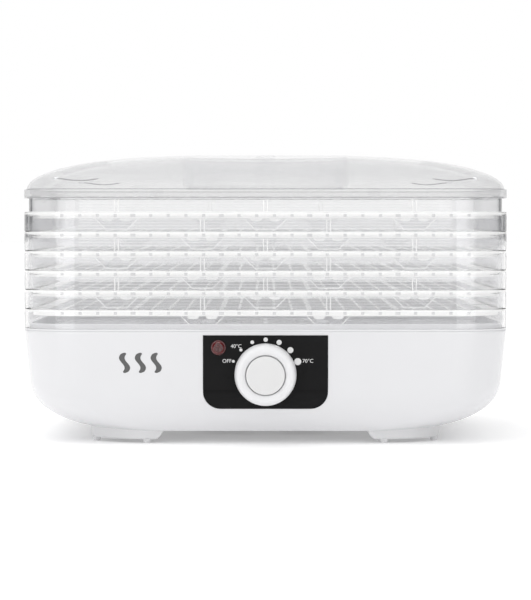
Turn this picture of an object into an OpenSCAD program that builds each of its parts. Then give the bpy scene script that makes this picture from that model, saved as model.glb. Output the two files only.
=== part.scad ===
// Food dehydrator: a white base with heater, fan and thermostat, six clear stacking trays and a clear lid.
// +Z is up and the front faces -Y. The origin is on the table, under the middle of the whole object.

/* [Body] */
// Width of the base, trays and lid
body_w = 390; // [380:1:400]
// Depth of the base, trays and lid
body_d = 280; // [276:1:290]
// Corner radius of the base, trays and lid seen from above
corner_r = 45; // [42:1:48]
// Height of the upper edge of the base above the table
base_top = 91.8; // [91:0.1:94]
// Height of the flat underside of the base above the table
base_bottom = 10; // [9:0.5:10]
// Wall thickness of the base housing
base_wall = 2.8; // [2.4:0.1:3.2]

/* [Trays] */
// Number of stacked trays
tray_count = 6; // [6:1:6]
// Height that each stacked tray adds
tray_pitch = 15.5; // [15.3:0.1:16]
// Wall thickness of the outer skirt of a tray
skirt_wall = 2.4; // [2.2:0.1:2.6]
// How far the upstanding wall of a tray stands in from its skirt
spigot_inset = 3.8; // [3.5:0.1:4]
// Height of the upstanding wall above the ledge
spigot_h = 12.5; // [12:0.1:12.6]
// Spacing of the floor ribs that run front to back
rib_pitch = 14; // [13.5:0.1:14]
// Rows of floor openings from front to back
grid_rows = 8; // [6:2:10]
// Thickness of the floor plate and the ledge
floor_t = 2; // [1.8:0.1:2.2]
// Depth of the floor ribs and of the band around the floor
band_h = 5.2; // [5:0.1:5.2]
// Upper width of the stacking tabs under a tray
tab_top_w = 34; // [30:1:36]
// Lower width of the stacking tabs under a tray
tab_bottom_w = 15.4; // [12:0.1:18]

/* [Lid] */
// Height of the crown of the lid above its rim line
lid_rise = 30; // [28:1:30]
// Wall thickness of the lid
lid_wall = 2.2; // [2:0.1:2.4]
// Radius of the round recess around the handle
recess_r = 69; // [60:1:72]
// Width of the handle bar that crosses the recess
handle_w = 16; // [14:1:20]
// Depth of the finger pockets below the crown
recess_depth = 27; // [24:1:27]

/* [Control panel] */
// Width of the black control panel
panel_w = 99; // [96:1:104]
// Height of the lower edge of the panel above the table
panel_bottom = 28.8; // [28:0.1:30]
// Height of the upper edge of the panel above the table
panel_top = 87.3; // [86:0.1:88]
// Radius of the two lower corners of the panel
panel_r = 14; // [12:1:16]
// Height of the knob's axis above the table
knob_z = 56.5; // [56:0.1:57]
// Outer radius of the knob
knob_r = 24.5; // [24:0.1:25]
// How far the knob stands out from its rear edge to its front
knob_h = 18; // [18:1:18]
// Radius of the round indicator lens
lamp_r = 5.9; // [5.5:0.1:6]

/* [Fan and heater] */
// Radius of the fan impeller
fan_r = 55; // [50:1:56]
// Number of impeller blades
fan_blades = 7; // [5:1:9]
// Inner radius of the air duct around the fan
duct_r = 60; // [60:1:62]
// Radius of the motor shaft
motor_shaft_r = 1.6; // [1.5:0.1:1.6]
// Radius of the opening in the grille's frame
grille_r = 54; // [52:1:56]

/* [Cord entry] */
// Radius of the bore for the mains cord
cord_bore_r = 3.6; // [3:0.1:4]
// Distance of the cord entry to the right of the middle, seen from the front
cord_x = 100; // [90:1:110]

/* [Hidden] */
$fn = 120;

// Small cut-through allowance for tools that open a face
eps = 1;

// Colours
white_plastic = [0.91, 0.91, 0.92];
knob_white = [0.87, 0.87, 0.87];
black_plastic = [0.07, 0.07, 0.08];
lamp_red = [0.45, 0.04, 0.05];
clear_plastic = [0.86, 0.88, 0.9, 0.45];
mica_tan = [0.72, 0.62, 0.45];
steel_grey = [0.62, 0.63, 0.65];
copper_red = [0.72, 0.4, 0.22];
brass_yellow = [0.75, 0.62, 0.3];

// Depth taken up by the knob in front and by the cord gland behind
knob_gap = 1;
gland_flange_t = 4;
body_y = (knob_gap + knob_h - gland_flange_t) / 2;
front_y = -body_d / 2;
rear_y = body_d / 2;

// Base: half-widths of the side walls, then the two arcs that round each side into the underside
side_foot_z = 52;
side_draft = 4;
flat_half_w = body_w / 2 - side_draft - 61;
side_arc_r = 33;
under_arc_r = 81.06;
side_arc_x = flat_half_w + 28;
under_arc_z = base_bottom + under_arc_r;
front_arc_r = 44;
front_arc_z = 44;
deck_z = 86.5;
deck_t = 2.5;
cavity_z = base_bottom + base_wall + 0.2;
base_spigot_h = 4.2;
plinth_z = 90;
cover_w = 256;
cover_d = 200;
cover_r = 16;
post_x = 118;
post_y = 90;

// Trays
spigot_wall = 2;
ledge_inset = 8.6;
band_inset = 6.6;
band_wall = 2;
rib_w = 2;
rib_count = 24;
column_count = rib_count + 1;
row_pitch = 240 / grid_rows;
tab_t = 2;
tab_clear = 1.2;
post_h = 9.8;
post_t = 1.2;
post_gap = 2.4;
front_tabs = [-118, 0, 118];
rear_tabs = [-50, 50];

// Lid: rim, seat on the top tray, then the arcs of the dome
top_ledge_z = base_top + tray_count * tray_pitch;
seat_z = top_ledge_z + spigot_h;
rim_bottom_z = seat_z - 1.6;
rim_z = rim_bottom_z + 7.3;
crown_z = rim_z + lid_rise;
dome_r = 32;
dome_w_r = 1351;
dome_d_r = 560;
dome_x = body_w / 2 - 32;
dome_y = body_d / 2 - 32;
clip_x = 99;
clip_w = 12;
clip_h = 10.8;
vent_x = 133;
vent_end_x = 174;
vent_w = 4;
vent_spacing = 20;

// Fan stack, from the motor's mounting bar up to the heater
mount_z = 28;
mount_t = 2;
lower_bracket_z = mount_z + mount_t;
bracket_t = 2;
bracket_h = 6;
core_z = lower_bracket_z + bracket_h;
core_h = 14;
upper_bracket_z = core_z + core_h;
core_w = 48;
core_d = 36;
rotor_r = 11.8;
rotor_gap = 0.3;
bush_r = 4;
fan_z = 57.5;
fan_h = 14;
heater_z = 73;
heater_h = 10;
coil_radii = [24, 38, 52];
coil_wire_r = 1.3;
duct_bottom_z = 24;
motor_screw_x = 20;

// Control panel
panel_seat = 1.2;
panel_proud = 0.4;
lamp_x = -37.3;
lamp_z = 77.6;
bush_thread_r = 4.8;
thermo_shaft_r = 3;
cap_r = 15.3;
cord_z = 52;

module placed() {
    translate([0, body_y, 0])
        children();
}

// Rounded rectangle of the body seen from above, drawn in by inset
module plan(inset) {
    half_w = body_w / 2 - inset;
    half_d = body_d / 2 - inset;
    r = corner_r - inset;
    square([2 * half_w, 2 * (half_d - r)], center = true);
    square([2 * (half_w - r), 2 * half_d], center = true);
    for (x = [-1, 1], y = [-1, 1])
        translate([x * (half_w - r), y * (half_d - r)])
            circle(r);
}

// Wall that follows the body's outline between two insets
module wall_ring(outer_inset, inner_inset, z, h) {
    translate([0, 0, z])
        linear_extrude(h)
            difference() {
                plan(outer_inset);
                plan(inner_inset);
            }
}

module rounded_rect(w, d, r) {
    square([w, d - 2 * r], center = true);
    square([w - 2 * r, d], center = true);
    for (x = [-1, 1], y = [-1, 1])
        translate([x * (w / 2 - r), y * (d / 2 - r)])
            circle(r);
}

// Turned shape whose axis runs forward, from the plane y = start
module facing_front(x, start, z) {
    translate([x, start, z])
        rotate([90, 0, 0])
            children();
}

// Shape drawn in x and z, run the whole way from front to back
module run_in_y() {
    rotate([90, 0, 0])
        linear_extrude(body_d + 20, center = true)
            children();
}

// Shape drawn in y and z, run the whole way from side to side
module run_in_x() {
    rotate([90, 0, 90])
        linear_extrude(body_w + 20, center = true)
            children();
}

// Front elevation of the base: drafted sides that round under
module base_elevation(inset) {
    top = base_top + eps;
    half = body_w / 2 - inset - 0.1;
    low = body_w / 2 - inset - side_draft;
    polygon([[-low, side_foot_z], [low, side_foot_z], [half, top], [-half, top]]);
    translate([-flat_half_w, base_bottom + inset])
        square([2 * flat_half_w, side_foot_z - base_bottom - inset]);
    for (s = [-1, 1]) {
        translate([s * side_arc_x, side_foot_z])
            circle(side_arc_r - inset, $fn = 240);
        intersection() {
            translate([s * flat_half_w, under_arc_z])
                circle(under_arc_r - inset, $fn = 360);
            polygon([
                [s * flat_half_w, under_arc_z],
                [s * flat_half_w, under_arc_z - 120],
                [s * (flat_half_w + 3 * (side_arc_x - flat_half_w)), under_arc_z - 3 * (under_arc_z - side_foot_z)]
            ]);
        }
    }
}

// Side elevation of the base: upright front and back that curve in below
module base_side(inset) {
    flat_half_d = body_d / 2 - front_arc_r;
    translate([inset - body_d / 2, front_arc_z])
        square([body_d - 2 * inset, base_top + eps - front_arc_z]);
    intersection() {
        union() {
            for (s = [-1, 1])
                translate([s * flat_half_d, front_arc_z])
                    circle(front_arc_r - inset, $fn = 240);
            translate([-flat_half_d, 0])
                square([2 * flat_half_d, front_arc_z]);
        }
        translate([-body_d / 2, base_bottom + inset])
            square([body_d, base_top]);
    }
}

// Solid form of the base, drawn in by inset
module base_form(inset) {
    intersection() {
        run_in_y()
            base_elevation(inset);
        run_in_x()
            base_side(inset);
        linear_extrude(base_top)
            plan(inset);
    }
}

// Outline of the control panel as seen from the front
module panel_outline(grow) {
    half = panel_w / 2 + grow;
    arc_x = panel_w / 2 - panel_r;
    arc_z = panel_bottom + panel_r;
    translate([-half, arc_z])
        square([2 * half, panel_top + grow - arc_z]);
    translate([-arc_x, panel_bottom - grow])
        square([2 * arc_x, panel_r + grow]);
    for (s = [-1, 1])
        translate([s * arc_x, arc_z])
            circle(panel_r + grow);
}

// Block through the front wall in the panel's outline
module panel_block(grow) {
    facing_front(0, front_y + 20, 0)
        linear_extrude(24)
            panel_outline(grow);
}

module base_housing() {
    color(white_plastic)
        placed()
            difference() {
                union() {
                    difference() {
                        base_form(0);
                        intersection() {
                            base_form(base_wall);
                            translate([-body_w / 2, -body_d / 2, cavity_z])
                                cube([body_w, body_d, deck_z - deck_t - cavity_z]);
                        }
                        translate([0, 0, deck_z])
                            linear_extrude(base_top)
                                plan(spigot_inset + spigot_wall);
                        // Opening for the bottom cover
                        translate([0, 0, base_bottom - eps])
                            linear_extrude(base_wall + 2 * eps)
                                rounded_rect(cover_w, cover_d, cover_r);
                    }
                    wall_ring(spigot_inset, spigot_inset + spigot_wall, deck_z, base_top - deck_z + base_spigot_h);
                    translate([0, 0, deck_z])
                        cylinder(r1 = 76, r2 = 58, h = plinth_z - deck_z);
                    for (x = [-1, 1], y = [-1, 1])
                        translate([x * post_x, y * post_y, base_bottom + base_wall])
                            cylinder(r = 4.5, h = deck_z - base_bottom - base_wall);
                }
                // Seam groove under the rim
                wall_ring(-eps, 0.5, base_top - 1.6, 0.5);
                // Air outlet in the deck
                translate([0, 0, deck_z - deck_t - eps])
                    cylinder(r = 50, h = 10);
                for (x = [-1, 1], y = [-1, 1])
                    translate([x * post_x, y * post_y, base_bottom])
                        cylinder(r = 1.45, h = 22);
                // Seat and holes behind the control panel
                difference() {
                    panel_block(0.15);
                    base_form(panel_seat);
                }
                facing_front(0, front_y + 10, knob_z)
                    cylinder(r = bush_thread_r + 0.2, h = 20);
                facing_front(lamp_x, front_y + 10, lamp_z)
                    cylinder(r = 4.7, h = 20);
                // Cord entry
                facing_front(cord_x, rear_y + eps, cord_z)
                    cylinder(r = 6.6, h = 10);
            }
}

module bottom_cover() {
    slot_count = 6;
    color(white_plastic)
        placed()
            translate([0, 0, base_bottom])
                linear_extrude(base_wall)
                    difference() {
                        rounded_rect(cover_w - 0.6, cover_d - 0.6, cover_r - 0.3);
                        for (i = [0 : slot_count - 1], s = [-1, 1])
                            translate([s * 28, (i - (slot_count - 1) / 2) * 16])
                                rounded_rect(44, 6, 2.9);
                        for (x = [-1, 1], y = [-1, 1])
                            translate([x * post_x, y * post_y])
                                circle(1.9);
                    }
}

module cover_screws() {
    color(steel_grey)
        placed()
            for (x = [-1, 1], y = [-1, 1])
                translate([x * post_x, y * post_y, 0]) {
                    difference() {
                        translate([0, 0, base_bottom - 1.8])
                            cylinder(r = 3.3, h = 1.8);
                        translate([-2.2, -0.4, base_bottom - 2.8])
                            cube([4.4, 0.8, 2]);
                        translate([-0.4, -2.2, base_bottom - 2.8])
                            cube([0.8, 4.4, 2]);
                    }
                    translate([0, 0, base_bottom])
                        cylinder(r = 1.4, h = 18);
                }
}

// Foot at one corner: a wall curved round the corner, on two short studs
module foot(side, end) {
    arc_r = 52;
    arc_x = 95;
    arc_y = 66;
    wall = 6;
    stud_angle = 53;
    color(white_plastic)
        placed()
            scale_side(side, end) {
                translate([arc_x, arc_y, 3])
                    intersection() {
                        difference() {
                            cylinder(r = arc_r + wall / 2, h = base_bottom - 3);
                            translate([0, 0, -eps])
                                cylinder(r = arc_r - wall / 2, h = base_bottom);
                        }
                        linear_extrude(base_bottom)
                            polygon([[0, 0], [0, 80], [80, 80], [80 * tan(58), 80]]);
                    }
                translate([arc_x, arc_y + arc_r, 3])
                    rotate([90, 0, 180])
                        linear_extrude(wall, center = true)
                            polygon([[-eps, 0], [8, 0], [13, base_bottom - 3], [-eps, base_bottom - 3]]);
                for (a = [0, stud_angle])
                    translate([arc_x + arc_r * sin(a), arc_y + arc_r * cos(a), 0])
                        cylinder(r1 = 2.7, r2 = 3.5, h = 3 + eps);
            }
}

// Places a shape drawn in the right rear corner at any of the four corners
module scale_side(side, end) {
    mirror([side < 0 ? 1 : 0, 0, 0])
        mirror([0, end < 0 ? 1 : 0, 0])
            children();
}

module foot_front_left() {
    foot(-1, -1);
}

module foot_front_right() {
    foot(1, -1);
}

module foot_rear_left() {
    foot(-1, 1);
}

module foot_rear_right() {
    foot(1, 1);
}

module control_panel() {
    color(black_plastic)
        placed()
            difference() {
                intersection() {
                    panel_block(0);
                    base_form(-panel_proud);
                }
                base_form(panel_seat);
                facing_front(0, front_y + 10, knob_z)
                    cylinder(r = bush_thread_r + 0.2, h = 20);
                facing_front(lamp_x, front_y + 10, lamp_z)
                    cylinder(r = 4.7, h = 20);
            }
}

module lamp_lens() {
    dome_sphere_r = 7.6;
    color(lamp_red)
        placed()
            facing_front(lamp_x, front_y - panel_proud, lamp_z) {
                cylinder(r = lamp_r, h = 1.2);
                intersection() {
                    translate([0, 0, 1])
                        cylinder(r = lamp_r - 0.5, h = 4);
                    translate([0, 0, 3.8 - dome_sphere_r])
                        sphere(dome_sphere_r);
                }
            }
}

module lamp_body() {
    color(black_plastic)
        placed()
            facing_front(lamp_x, front_y + 22, lamp_z)
                cylinder(r = 4.5, h = 22 + panel_proud);
}

module thermostat_body() {
    back = front_y + base_wall + 14;
    color(steel_grey)
        placed()
            difference() {
                union() {
                    translate([-17, front_y + base_wall, knob_z - 12])
                        cube([34, 12, 25]);
                    facing_front(0, back + 6, knob_z)
                        cylinder(r = 12, h = 10);
                    facing_front(0, front_y + base_wall + eps, knob_z)
                        cylinder(r = bush_thread_r, h = base_wall + eps + 4.6);
                }
                facing_front(0, front_y + base_wall + 8, knob_z)
                    cylinder(r = thermo_shaft_r + 0.05, h = 20);
            }
}

module thermostat_nut() {
    across = 7.6;
    color(brass_yellow)
        placed()
            facing_front(0, front_y - panel_proud, knob_z)
                linear_extrude(2.6)
                    difference() {
                        polygon([for (a = [0 : 60 : 300]) across * [cos(a), sin(a)]]);
                        circle(bush_thread_r + 0.05);
                    }
}

module thermostat_shaft() {
    color(steel_grey)
        placed()
            facing_front(0, front_y + base_wall + 7.5, knob_z)
                cylinder(r = thermo_shaft_r, h = 22);
}

module knob() {
    skirt_wall_t = 2.5;
    web_h = 9;
    cap_seat = 12;
    color(knob_white)
        placed()
            facing_front(0, front_y - knob_gap, knob_z)
                rotate_extrude()
                    polygon([
                        [thermo_shaft_r + 0.02, 4.2], [6.5, 4.2], [6.5, web_h],
                        [knob_r - skirt_wall_t, web_h], [knob_r - skirt_wall_t, 0], [knob_r, 0],
                        [knob_r, 9], [knob_r - 0.7, 14], [knob_r - 2, 16.6], [knob_r - 4, knob_h - 0.4],
                        [knob_r - 5.2, knob_h - 0.5], [cap_r + 1.4, 15.8], [cap_r + 0.5, 15.2],
                        [cap_r + 0.5, cap_seat], [thermo_shaft_r + 0.02, cap_seat]
                    ]);
}

module knob_cap() {
    color(knob_white)
        placed()
            facing_front(0, front_y - knob_gap - 12, knob_z)
                rotate_extrude()
                    polygon([[0, 0], [cap_r, 0], [cap_r, 5], [cap_r - 0.8, 5.8], [0, knob_h - 12]]);
}

module fan_grille() {
    slot_radii = [14, 21, 28, 35, 42];
    slot_w = 4;
    spoke_w = 3;
    color(white_plastic)
        placed()
            translate([0, 0, plinth_z])
                linear_extrude(2.2)
                    difference() {
                        circle(grille_r);
                        difference() {
                            for (r = slot_radii)
                                difference() {
                                    circle(r + slot_w / 2);
                                    circle(r - slot_w / 2);
                                }
                            for (a = [0 : 45 : 135])
                                rotate(a)
                                    square([2 * grille_r, spoke_w], center = true);
                        }
                    }
}

module air_duct() {
    top = deck_z - deck_t;
    color(black_plastic)
        placed()
            difference() {
                union() {
                    translate([0, 0, duct_bottom_z])
                        cylinder(r = duct_r + 2, h = top - duct_bottom_z);
                    translate([0, 0, top - 2])
                        cylinder(r = duct_r + 8, h = 2);
                }
                translate([0, 0, duct_bottom_z - eps])
                    cylinder(r = duct_r, h = top);
            }
}

// Two crossed mica strips with holes that carry the coil
module heater_frame() {
    strip_t = 1;
    strip_half = duct_r - 0.3;
    color(mica_tan)
        placed()
            translate([0, 0, heater_z])
                difference() {
                    union() {
                        translate([-strip_half, -strip_t / 2, 0])
                            cube([2 * strip_half, strip_t, heater_h]);
                        translate([-strip_t / 2, -strip_half, 0])
                            cube([strip_t, 2 * strip_half, heater_h]);
                    }
                    for (r = coil_radii, a = [0 : 90 : 270])
                        rotate(a)
                            translate([r, 0, heater_h / 2])
                                rotate([90, 0, 0])
                                    cylinder(r = coil_wire_r + 0.4, h = 6, center = true);
                }
}

module heater_coil() {
    color(steel_grey)
        placed()
            translate([0, 0, heater_z + heater_h / 2]) {
                for (r = coil_radii)
                    rotate_extrude()
                        translate([r, 0])
                            circle(coil_wire_r, $fn = 32);
                rotate([0, 90, 45])
                    translate([0, 0, coil_radii[0]])
                        cylinder(r = 0.6, h = coil_radii[2] - coil_radii[0], $fn = 24);
            }
}

module thermal_fuse() {
    color(steel_grey)
        placed()
            rotate(45)
                translate([duct_r - 2, 0, 70])
                    cylinder(r = 1.9, h = 12);
}

module fan_impeller() {
    blade_pitch = 35;
    blade_chord = 30;
    blade_t = 1.4;
    hub_r = 9;
    color(black_plastic)
        placed()
            translate([0, 0, fan_z])
                difference() {
                    union() {
                        cylinder(r = hub_r, h = fan_h - 1);
                        intersection() {
                            for (i = [0 : fan_blades - 1])
                                rotate(i * 360 / fan_blades)
                                    translate([fan_r / 2, 0, fan_h / 2])
                                        rotate([blade_pitch, 0, 0])
                                            cube([fan_r + 6, blade_chord, blade_t], center = true);
                            difference() {
                                cylinder(r = fan_r, h = fan_h);
                                translate([0, 0, -eps])
                                    cylinder(r = hub_r - 1, h = fan_h + 2 * eps);
                            }
                        }
                    }
                    translate([0, 0, -eps])
                        cylinder(r = motor_shaft_r + 0.02, h = fan_h + 2 * eps);
                }
}

module motor_shaft() {
    color(steel_grey)
        placed()
            translate([0, 0, lower_bracket_z + 0.4])
                cylinder(r = motor_shaft_r, h = fan_z + fan_h - lower_bracket_z - 2);
}

module motor_rotor() {
    color(steel_grey)
        placed()
            translate([0, 0, core_z])
                difference() {
                    cylinder(r = rotor_r, h = core_h);
                    translate([0, 0, -eps])
                        cylinder(r = motor_shaft_r + 0.02, h = core_h + 2 * eps);
                }
}

// Laminated core: a block around the rotor and a limb that carries the coil
module motor_core() {
    limb_w = 8;
    back = 38;
    color(steel_grey)
        placed()
            translate([0, 0, core_z])
                linear_extrude(core_h)
                    difference() {
                        union() {
                            square([core_w, core_d], center = true);
                            for (s = [-1, 1])
                                translate([s * (core_w - limb_w) / 2, back / 2])
                                    square([limb_w, back], center = true);
                            translate([-core_w / 2, back - limb_w])
                                square([core_w, limb_w]);
                        }
                        circle(rotor_r + rotor_gap);
                        for (s = [-1, 1])
                            translate([s * motor_screw_x, -13])
                                circle(1.8);
                    }
}

module motor_coil() {
    color(copper_red)
        placed()
            difference() {
                translate([-15.5, 25.5, core_z - 4.5])
                    cube([31, 17, core_h + 9]);
                translate([-17, 29.8, core_z - 0.2])
                    cube([34, 8.4, core_h + 0.4]);
            }
}

// Bridge across the core that holds one bearing bush; drawn with its bar at the bottom
module motor_bracket(z) {
    color(steel_grey)
        placed()
            translate([0, 0, z])
                difference() {
                    union() {
                        translate([-core_w / 2, -16, 0])
                            cube([core_w, 22, bracket_t]);
                        for (s = [-1, 1])
                            translate([s * (core_w / 2 - 3) - 3, -16, 0])
                                cube([6, 22, bracket_h]);
                        cylinder(r = 6.5, h = bracket_h - 1);
                    }
                    translate([0, 0, -eps])
                        cylinder(r = bush_r + 0.02, h = bracket_h + 2 * eps);
                    for (s = [-1, 1])
                        translate([s * motor_screw_x, -13, -eps])
                            cylinder(r = 1.8, h = bracket_h + 2 * eps);
                }
}

module motor_bracket_lower() {
    motor_bracket(lower_bracket_z);
}

module motor_bracket_upper() {
    translate([0, 0, 2 * upper_bracket_z + bracket_h])
        mirror([0, 0, 1])
            motor_bracket(upper_bracket_z);
}

module bearing_bushes() {
    color(brass_yellow)
        placed()
            for (z = [lower_bracket_z, upper_bracket_z + 1])
                translate([0, 0, z])
                    difference() {
                        cylinder(r = bush_r, h = bracket_h - 1);
                        translate([0, 0, -eps])
                            cylinder(r = motor_shaft_r + 0.03, h = bracket_h + eps);
                    }
}

// Flat bar across the duct that carries the motor
module motor_mount() {
    color(steel_grey)
        placed()
            translate([0, 0, mount_z])
                linear_extrude(mount_t)
                    difference() {
                        intersection() {
                            translate([-duct_r, -18])
                                square([2 * duct_r, 18]);
                            circle(duct_r - 0.1);
                        }
                        for (s = [-1, 1])
                            translate([s * motor_screw_x, -13])
                                circle(1.8);
                    }
}

module motor_screws() {
    color(steel_grey)
        placed()
            for (s = [-1, 1])
                translate([s * motor_screw_x, -13, mount_z - 2]) {
                    cylinder(r = 3, h = 2);
                    cylinder(r = 1.6, h = upper_bracket_z + bracket_h - mount_z + 3);
                }
}

module terminal_block() {
    color(white_plastic)
        placed()
            translate([cord_x - 15, 103, cavity_z])
                difference() {
                    cube([30, 12, 12]);
                    for (i = [0 : 2])
                        translate([5 + 10 * i, -eps, 6])
                            rotate([-90, 0, 0])
                                cylinder(r = 2, h = 12 + 2 * eps);
                }
}

module cord_gland() {
    color(black_plastic)
        placed()
            facing_front(cord_x, rear_y + gland_flange_t, cord_z)
                difference() {
                    union() {
                        cylinder(r = 9, h = gland_flange_t);
                        cylinder(r = 6.5, h = 16);
                    }
                    translate([0, 0, -eps])
                        cylinder(r = cord_bore_r, h = 16 + 2 * eps);
                }
}

// Floor openings between the ribs
module tray_openings() {
    for (i = [0 : column_count - 1], j = [0 : grid_rows - 1])
        translate([(i - (column_count - 1) / 2) * rib_pitch, (j - (grid_rows - 1) / 2) * row_pitch])
            square([rib_pitch - rib_w, row_pitch - rib_w], center = true);
}

module stacking_tab(x, side) {
    translate([x, side * (body_d / 2 - band_inset - tab_t / 2), tray_pitch - band_h])
        rotate([90, 0, 0])
            linear_extrude(tab_t, center = true)
                polygon([
                    [-tab_top_w / 2, 0.5], [-tab_top_w / 2, 0],
                    [-tab_bottom_w / 2, tab_clear - tray_pitch + band_h],
                    [tab_bottom_w / 2, tab_clear - tray_pitch + band_h],
                    [tab_top_w / 2, 0], [tab_top_w / 2, 0.5]
                ]);
}

module stacking_posts(x, side) {
    inner = body_d / 2 - spigot_inset - spigot_wall;
    for (s = [-1, 1])
        translate([x + s * (post_gap + post_t) / 2 - post_t / 2, side > 0 ? inner - 4 : -inner - 1, tray_pitch - 0.5])
            cube([post_t, 5, post_h + 0.5]);
}

// One tray: outer skirt, ledge, upstanding wall, ribbed floor, tabs below and posts above
module tray(level) {
    turned = level % 2 == 1 ? 180 : 0;
    ledge_z = tray_pitch - floor_t;
    color(clear_plastic)
        placed()
            translate([0, 0, base_top + (level - 1) * tray_pitch])
                rotate(turned) {
                    wall_ring(0, skirt_wall, 0, tray_pitch);
                    wall_ring(spigot_inset, spigot_inset + spigot_wall, ledge_z, floor_t + spigot_h);
                    translate([0, 0, ledge_z])
                        linear_extrude(floor_t)
                            difference() {
                                plan(eps);
                                tray_openings();
                            }
                    wall_ring(band_inset, band_inset + band_wall, tray_pitch - band_h, band_h - eps);
                    translate([0, 0, tray_pitch - band_h])
                        linear_extrude(band_h - eps)
                            intersection() {
                                plan(band_inset + eps);
                                for (i = [0 : rib_count - 1])
                                    translate([(i - (rib_count - 1) / 2) * rib_pitch, 0])
                                        square([rib_w, body_d], center = true);
                            }
                    for (x = front_tabs) {
                        stacking_tab(x, -1);
                        stacking_posts(x, -1);
                    }
                    for (x = rear_tabs) {
                        stacking_tab(x, 1);
                        stacking_posts(x, 1);
                    }
                }
}

module tray_1() {
    tray(1);
}

module tray_2() {
    tray(2);
}

module tray_3() {
    tray(3);
}

module tray_4() {
    tray(4);
}

module tray_5() {
    tray(5);
}

module tray_6() {
    tray(6);
}

// Elevation of the dome: a flat crown arc that meets two tighter shoulder arcs
module dome_profile(inset, crown_r, shoulder_at) {
    crown_c = crown_z - crown_r;
    reach = crown_r - dome_r;
    shoulder_c = crown_c + sqrt(reach * reach - shoulder_at * shoulder_at);
    intersection() {
        translate([0, crown_c])
            circle(crown_r - inset, $fn = 1440);
        polygon([
            [0, crown_c],
            [1.1 * shoulder_at, crown_c + 1.1 * (shoulder_c - crown_c)],
            [-1.1 * shoulder_at, crown_c + 1.1 * (shoulder_c - crown_c)]
        ]);
    }
    for (s = [-1, 1])
        translate([s * shoulder_at, shoulder_c])
            circle(dome_r - inset, $fn = 240);
}

module dome_form(inset) {
    intersection() {
        run_in_y()
            dome_profile(inset, dome_w_r, dome_x);
        run_in_x()
            dome_profile(inset, dome_d_r, dome_y);
        translate([0, 0, rim_z - 2])
            linear_extrude(lid_rise + 2)
                plan(skirt_wall + inset - 0.4);
    }
}

// One half of the round recess, beside the handle bar
module pocket_half(r, bar_w, side) {
    intersection() {
        circle(r);
        translate([side > 0 ? bar_w / 2 : -2 * r - bar_w / 2, -r])
            square([2 * r, 2 * r]);
    }
}

module lid() {
    floor_z = crown_z - recess_depth;
    color(clear_plastic)
        placed()
            difference() {
                union() {
                    difference() {
                        dome_form(0);
                        dome_form(lid_wall);
                        translate([0, 0, rim_z - 3])
                            linear_extrude(3 + eps)
                                plan(skirt_wall + lid_wall);
                    }
                    wall_ring(0, skirt_wall, rim_bottom_z, rim_z - rim_bottom_z);
                    wall_ring(eps, skirt_wall + lid_wall, rim_z - 2, 2);
                    wall_ring(eps, spigot_inset + spigot_wall, seat_z, 2);
                    intersection() {
                        dome_form(0);
                        translate([0, 0, floor_z - lid_wall])
                            linear_extrude(recess_depth + lid_wall)
                                for (s = [-1, 1])
                                    pocket_half(recess_r + lid_wall, handle_w - 2 * lid_wall, s);
                    }
                    for (x = [-1, 1], y = [-1, 1])
                        translate([x * clip_x - clip_w / 2, y > 0 ? rear_y - 0.5 : front_y - 0.8, rim_bottom_z])
                            cube([clip_w, 1.3, clip_h]);
                }
                translate([0, 0, floor_z])
                    linear_extrude(recess_depth + eps)
                        for (s = [-1, 1])
                            pocket_half(recess_r, handle_w, s);
                for (s = [-1, 1], i = [-2 : 2])
                    translate([s * (vent_x + vent_end_x) / 2, i * vent_spacing, rim_z])
                        linear_extrude(lid_rise)
                            rounded_rect(vent_end_x - vent_x, vent_w, vent_w / 2 - 0.05);
            }
}

base_housing();
bottom_cover();
foot_front_left();
foot_front_right();
foot_rear_left();
foot_rear_right();
cover_screws();
control_panel();
lamp_lens();
lamp_body();
thermostat_body();
thermostat_nut();
thermostat_shaft();
knob();
knob_cap();
fan_grille();
air_duct();
heater_frame();
heater_coil();
thermal_fuse();
fan_impeller();
motor_shaft();
motor_rotor();
motor_core();
motor_coil();
motor_bracket_lower();
motor_bracket_upper();
bearing_bushes();
motor_mount();
motor_screws();
terminal_block();
cord_gland();
tray_1();
tray_2();
tray_3();
tray_4();
tray_5();
tray_6();
lid();
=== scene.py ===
import math

import bmesh
import bpy
from mathutils import Matrix, Vector


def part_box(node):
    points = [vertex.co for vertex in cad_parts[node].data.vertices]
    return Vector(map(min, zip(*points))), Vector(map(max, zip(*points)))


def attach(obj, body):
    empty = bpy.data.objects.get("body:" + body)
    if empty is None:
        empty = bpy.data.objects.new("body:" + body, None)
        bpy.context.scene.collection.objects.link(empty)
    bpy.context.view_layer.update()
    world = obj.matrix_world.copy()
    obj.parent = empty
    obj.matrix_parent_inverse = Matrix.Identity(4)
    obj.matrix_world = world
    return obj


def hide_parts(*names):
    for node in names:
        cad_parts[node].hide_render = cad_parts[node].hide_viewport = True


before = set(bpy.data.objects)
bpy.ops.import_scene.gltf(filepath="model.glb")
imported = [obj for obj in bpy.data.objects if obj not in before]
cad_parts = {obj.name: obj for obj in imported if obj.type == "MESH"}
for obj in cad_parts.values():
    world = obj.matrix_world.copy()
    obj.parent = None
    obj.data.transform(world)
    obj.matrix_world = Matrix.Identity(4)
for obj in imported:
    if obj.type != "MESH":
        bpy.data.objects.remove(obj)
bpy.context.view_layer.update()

MM = 0.001
scene = bpy.context.scene


# ---------------------------------------------------------------- Studio
# A seamless pale table in a bright tent. Darker panels stand at the sides, so that the clear
# plastic gets its grey edges. The camera stands in front, a little below the height of the lid.
housing_low, housing_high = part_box("base_housing")
middle_y = (housing_low.y + housing_high.y) / 2
front_y = housing_low.y
rear_y = housing_high.y

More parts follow.
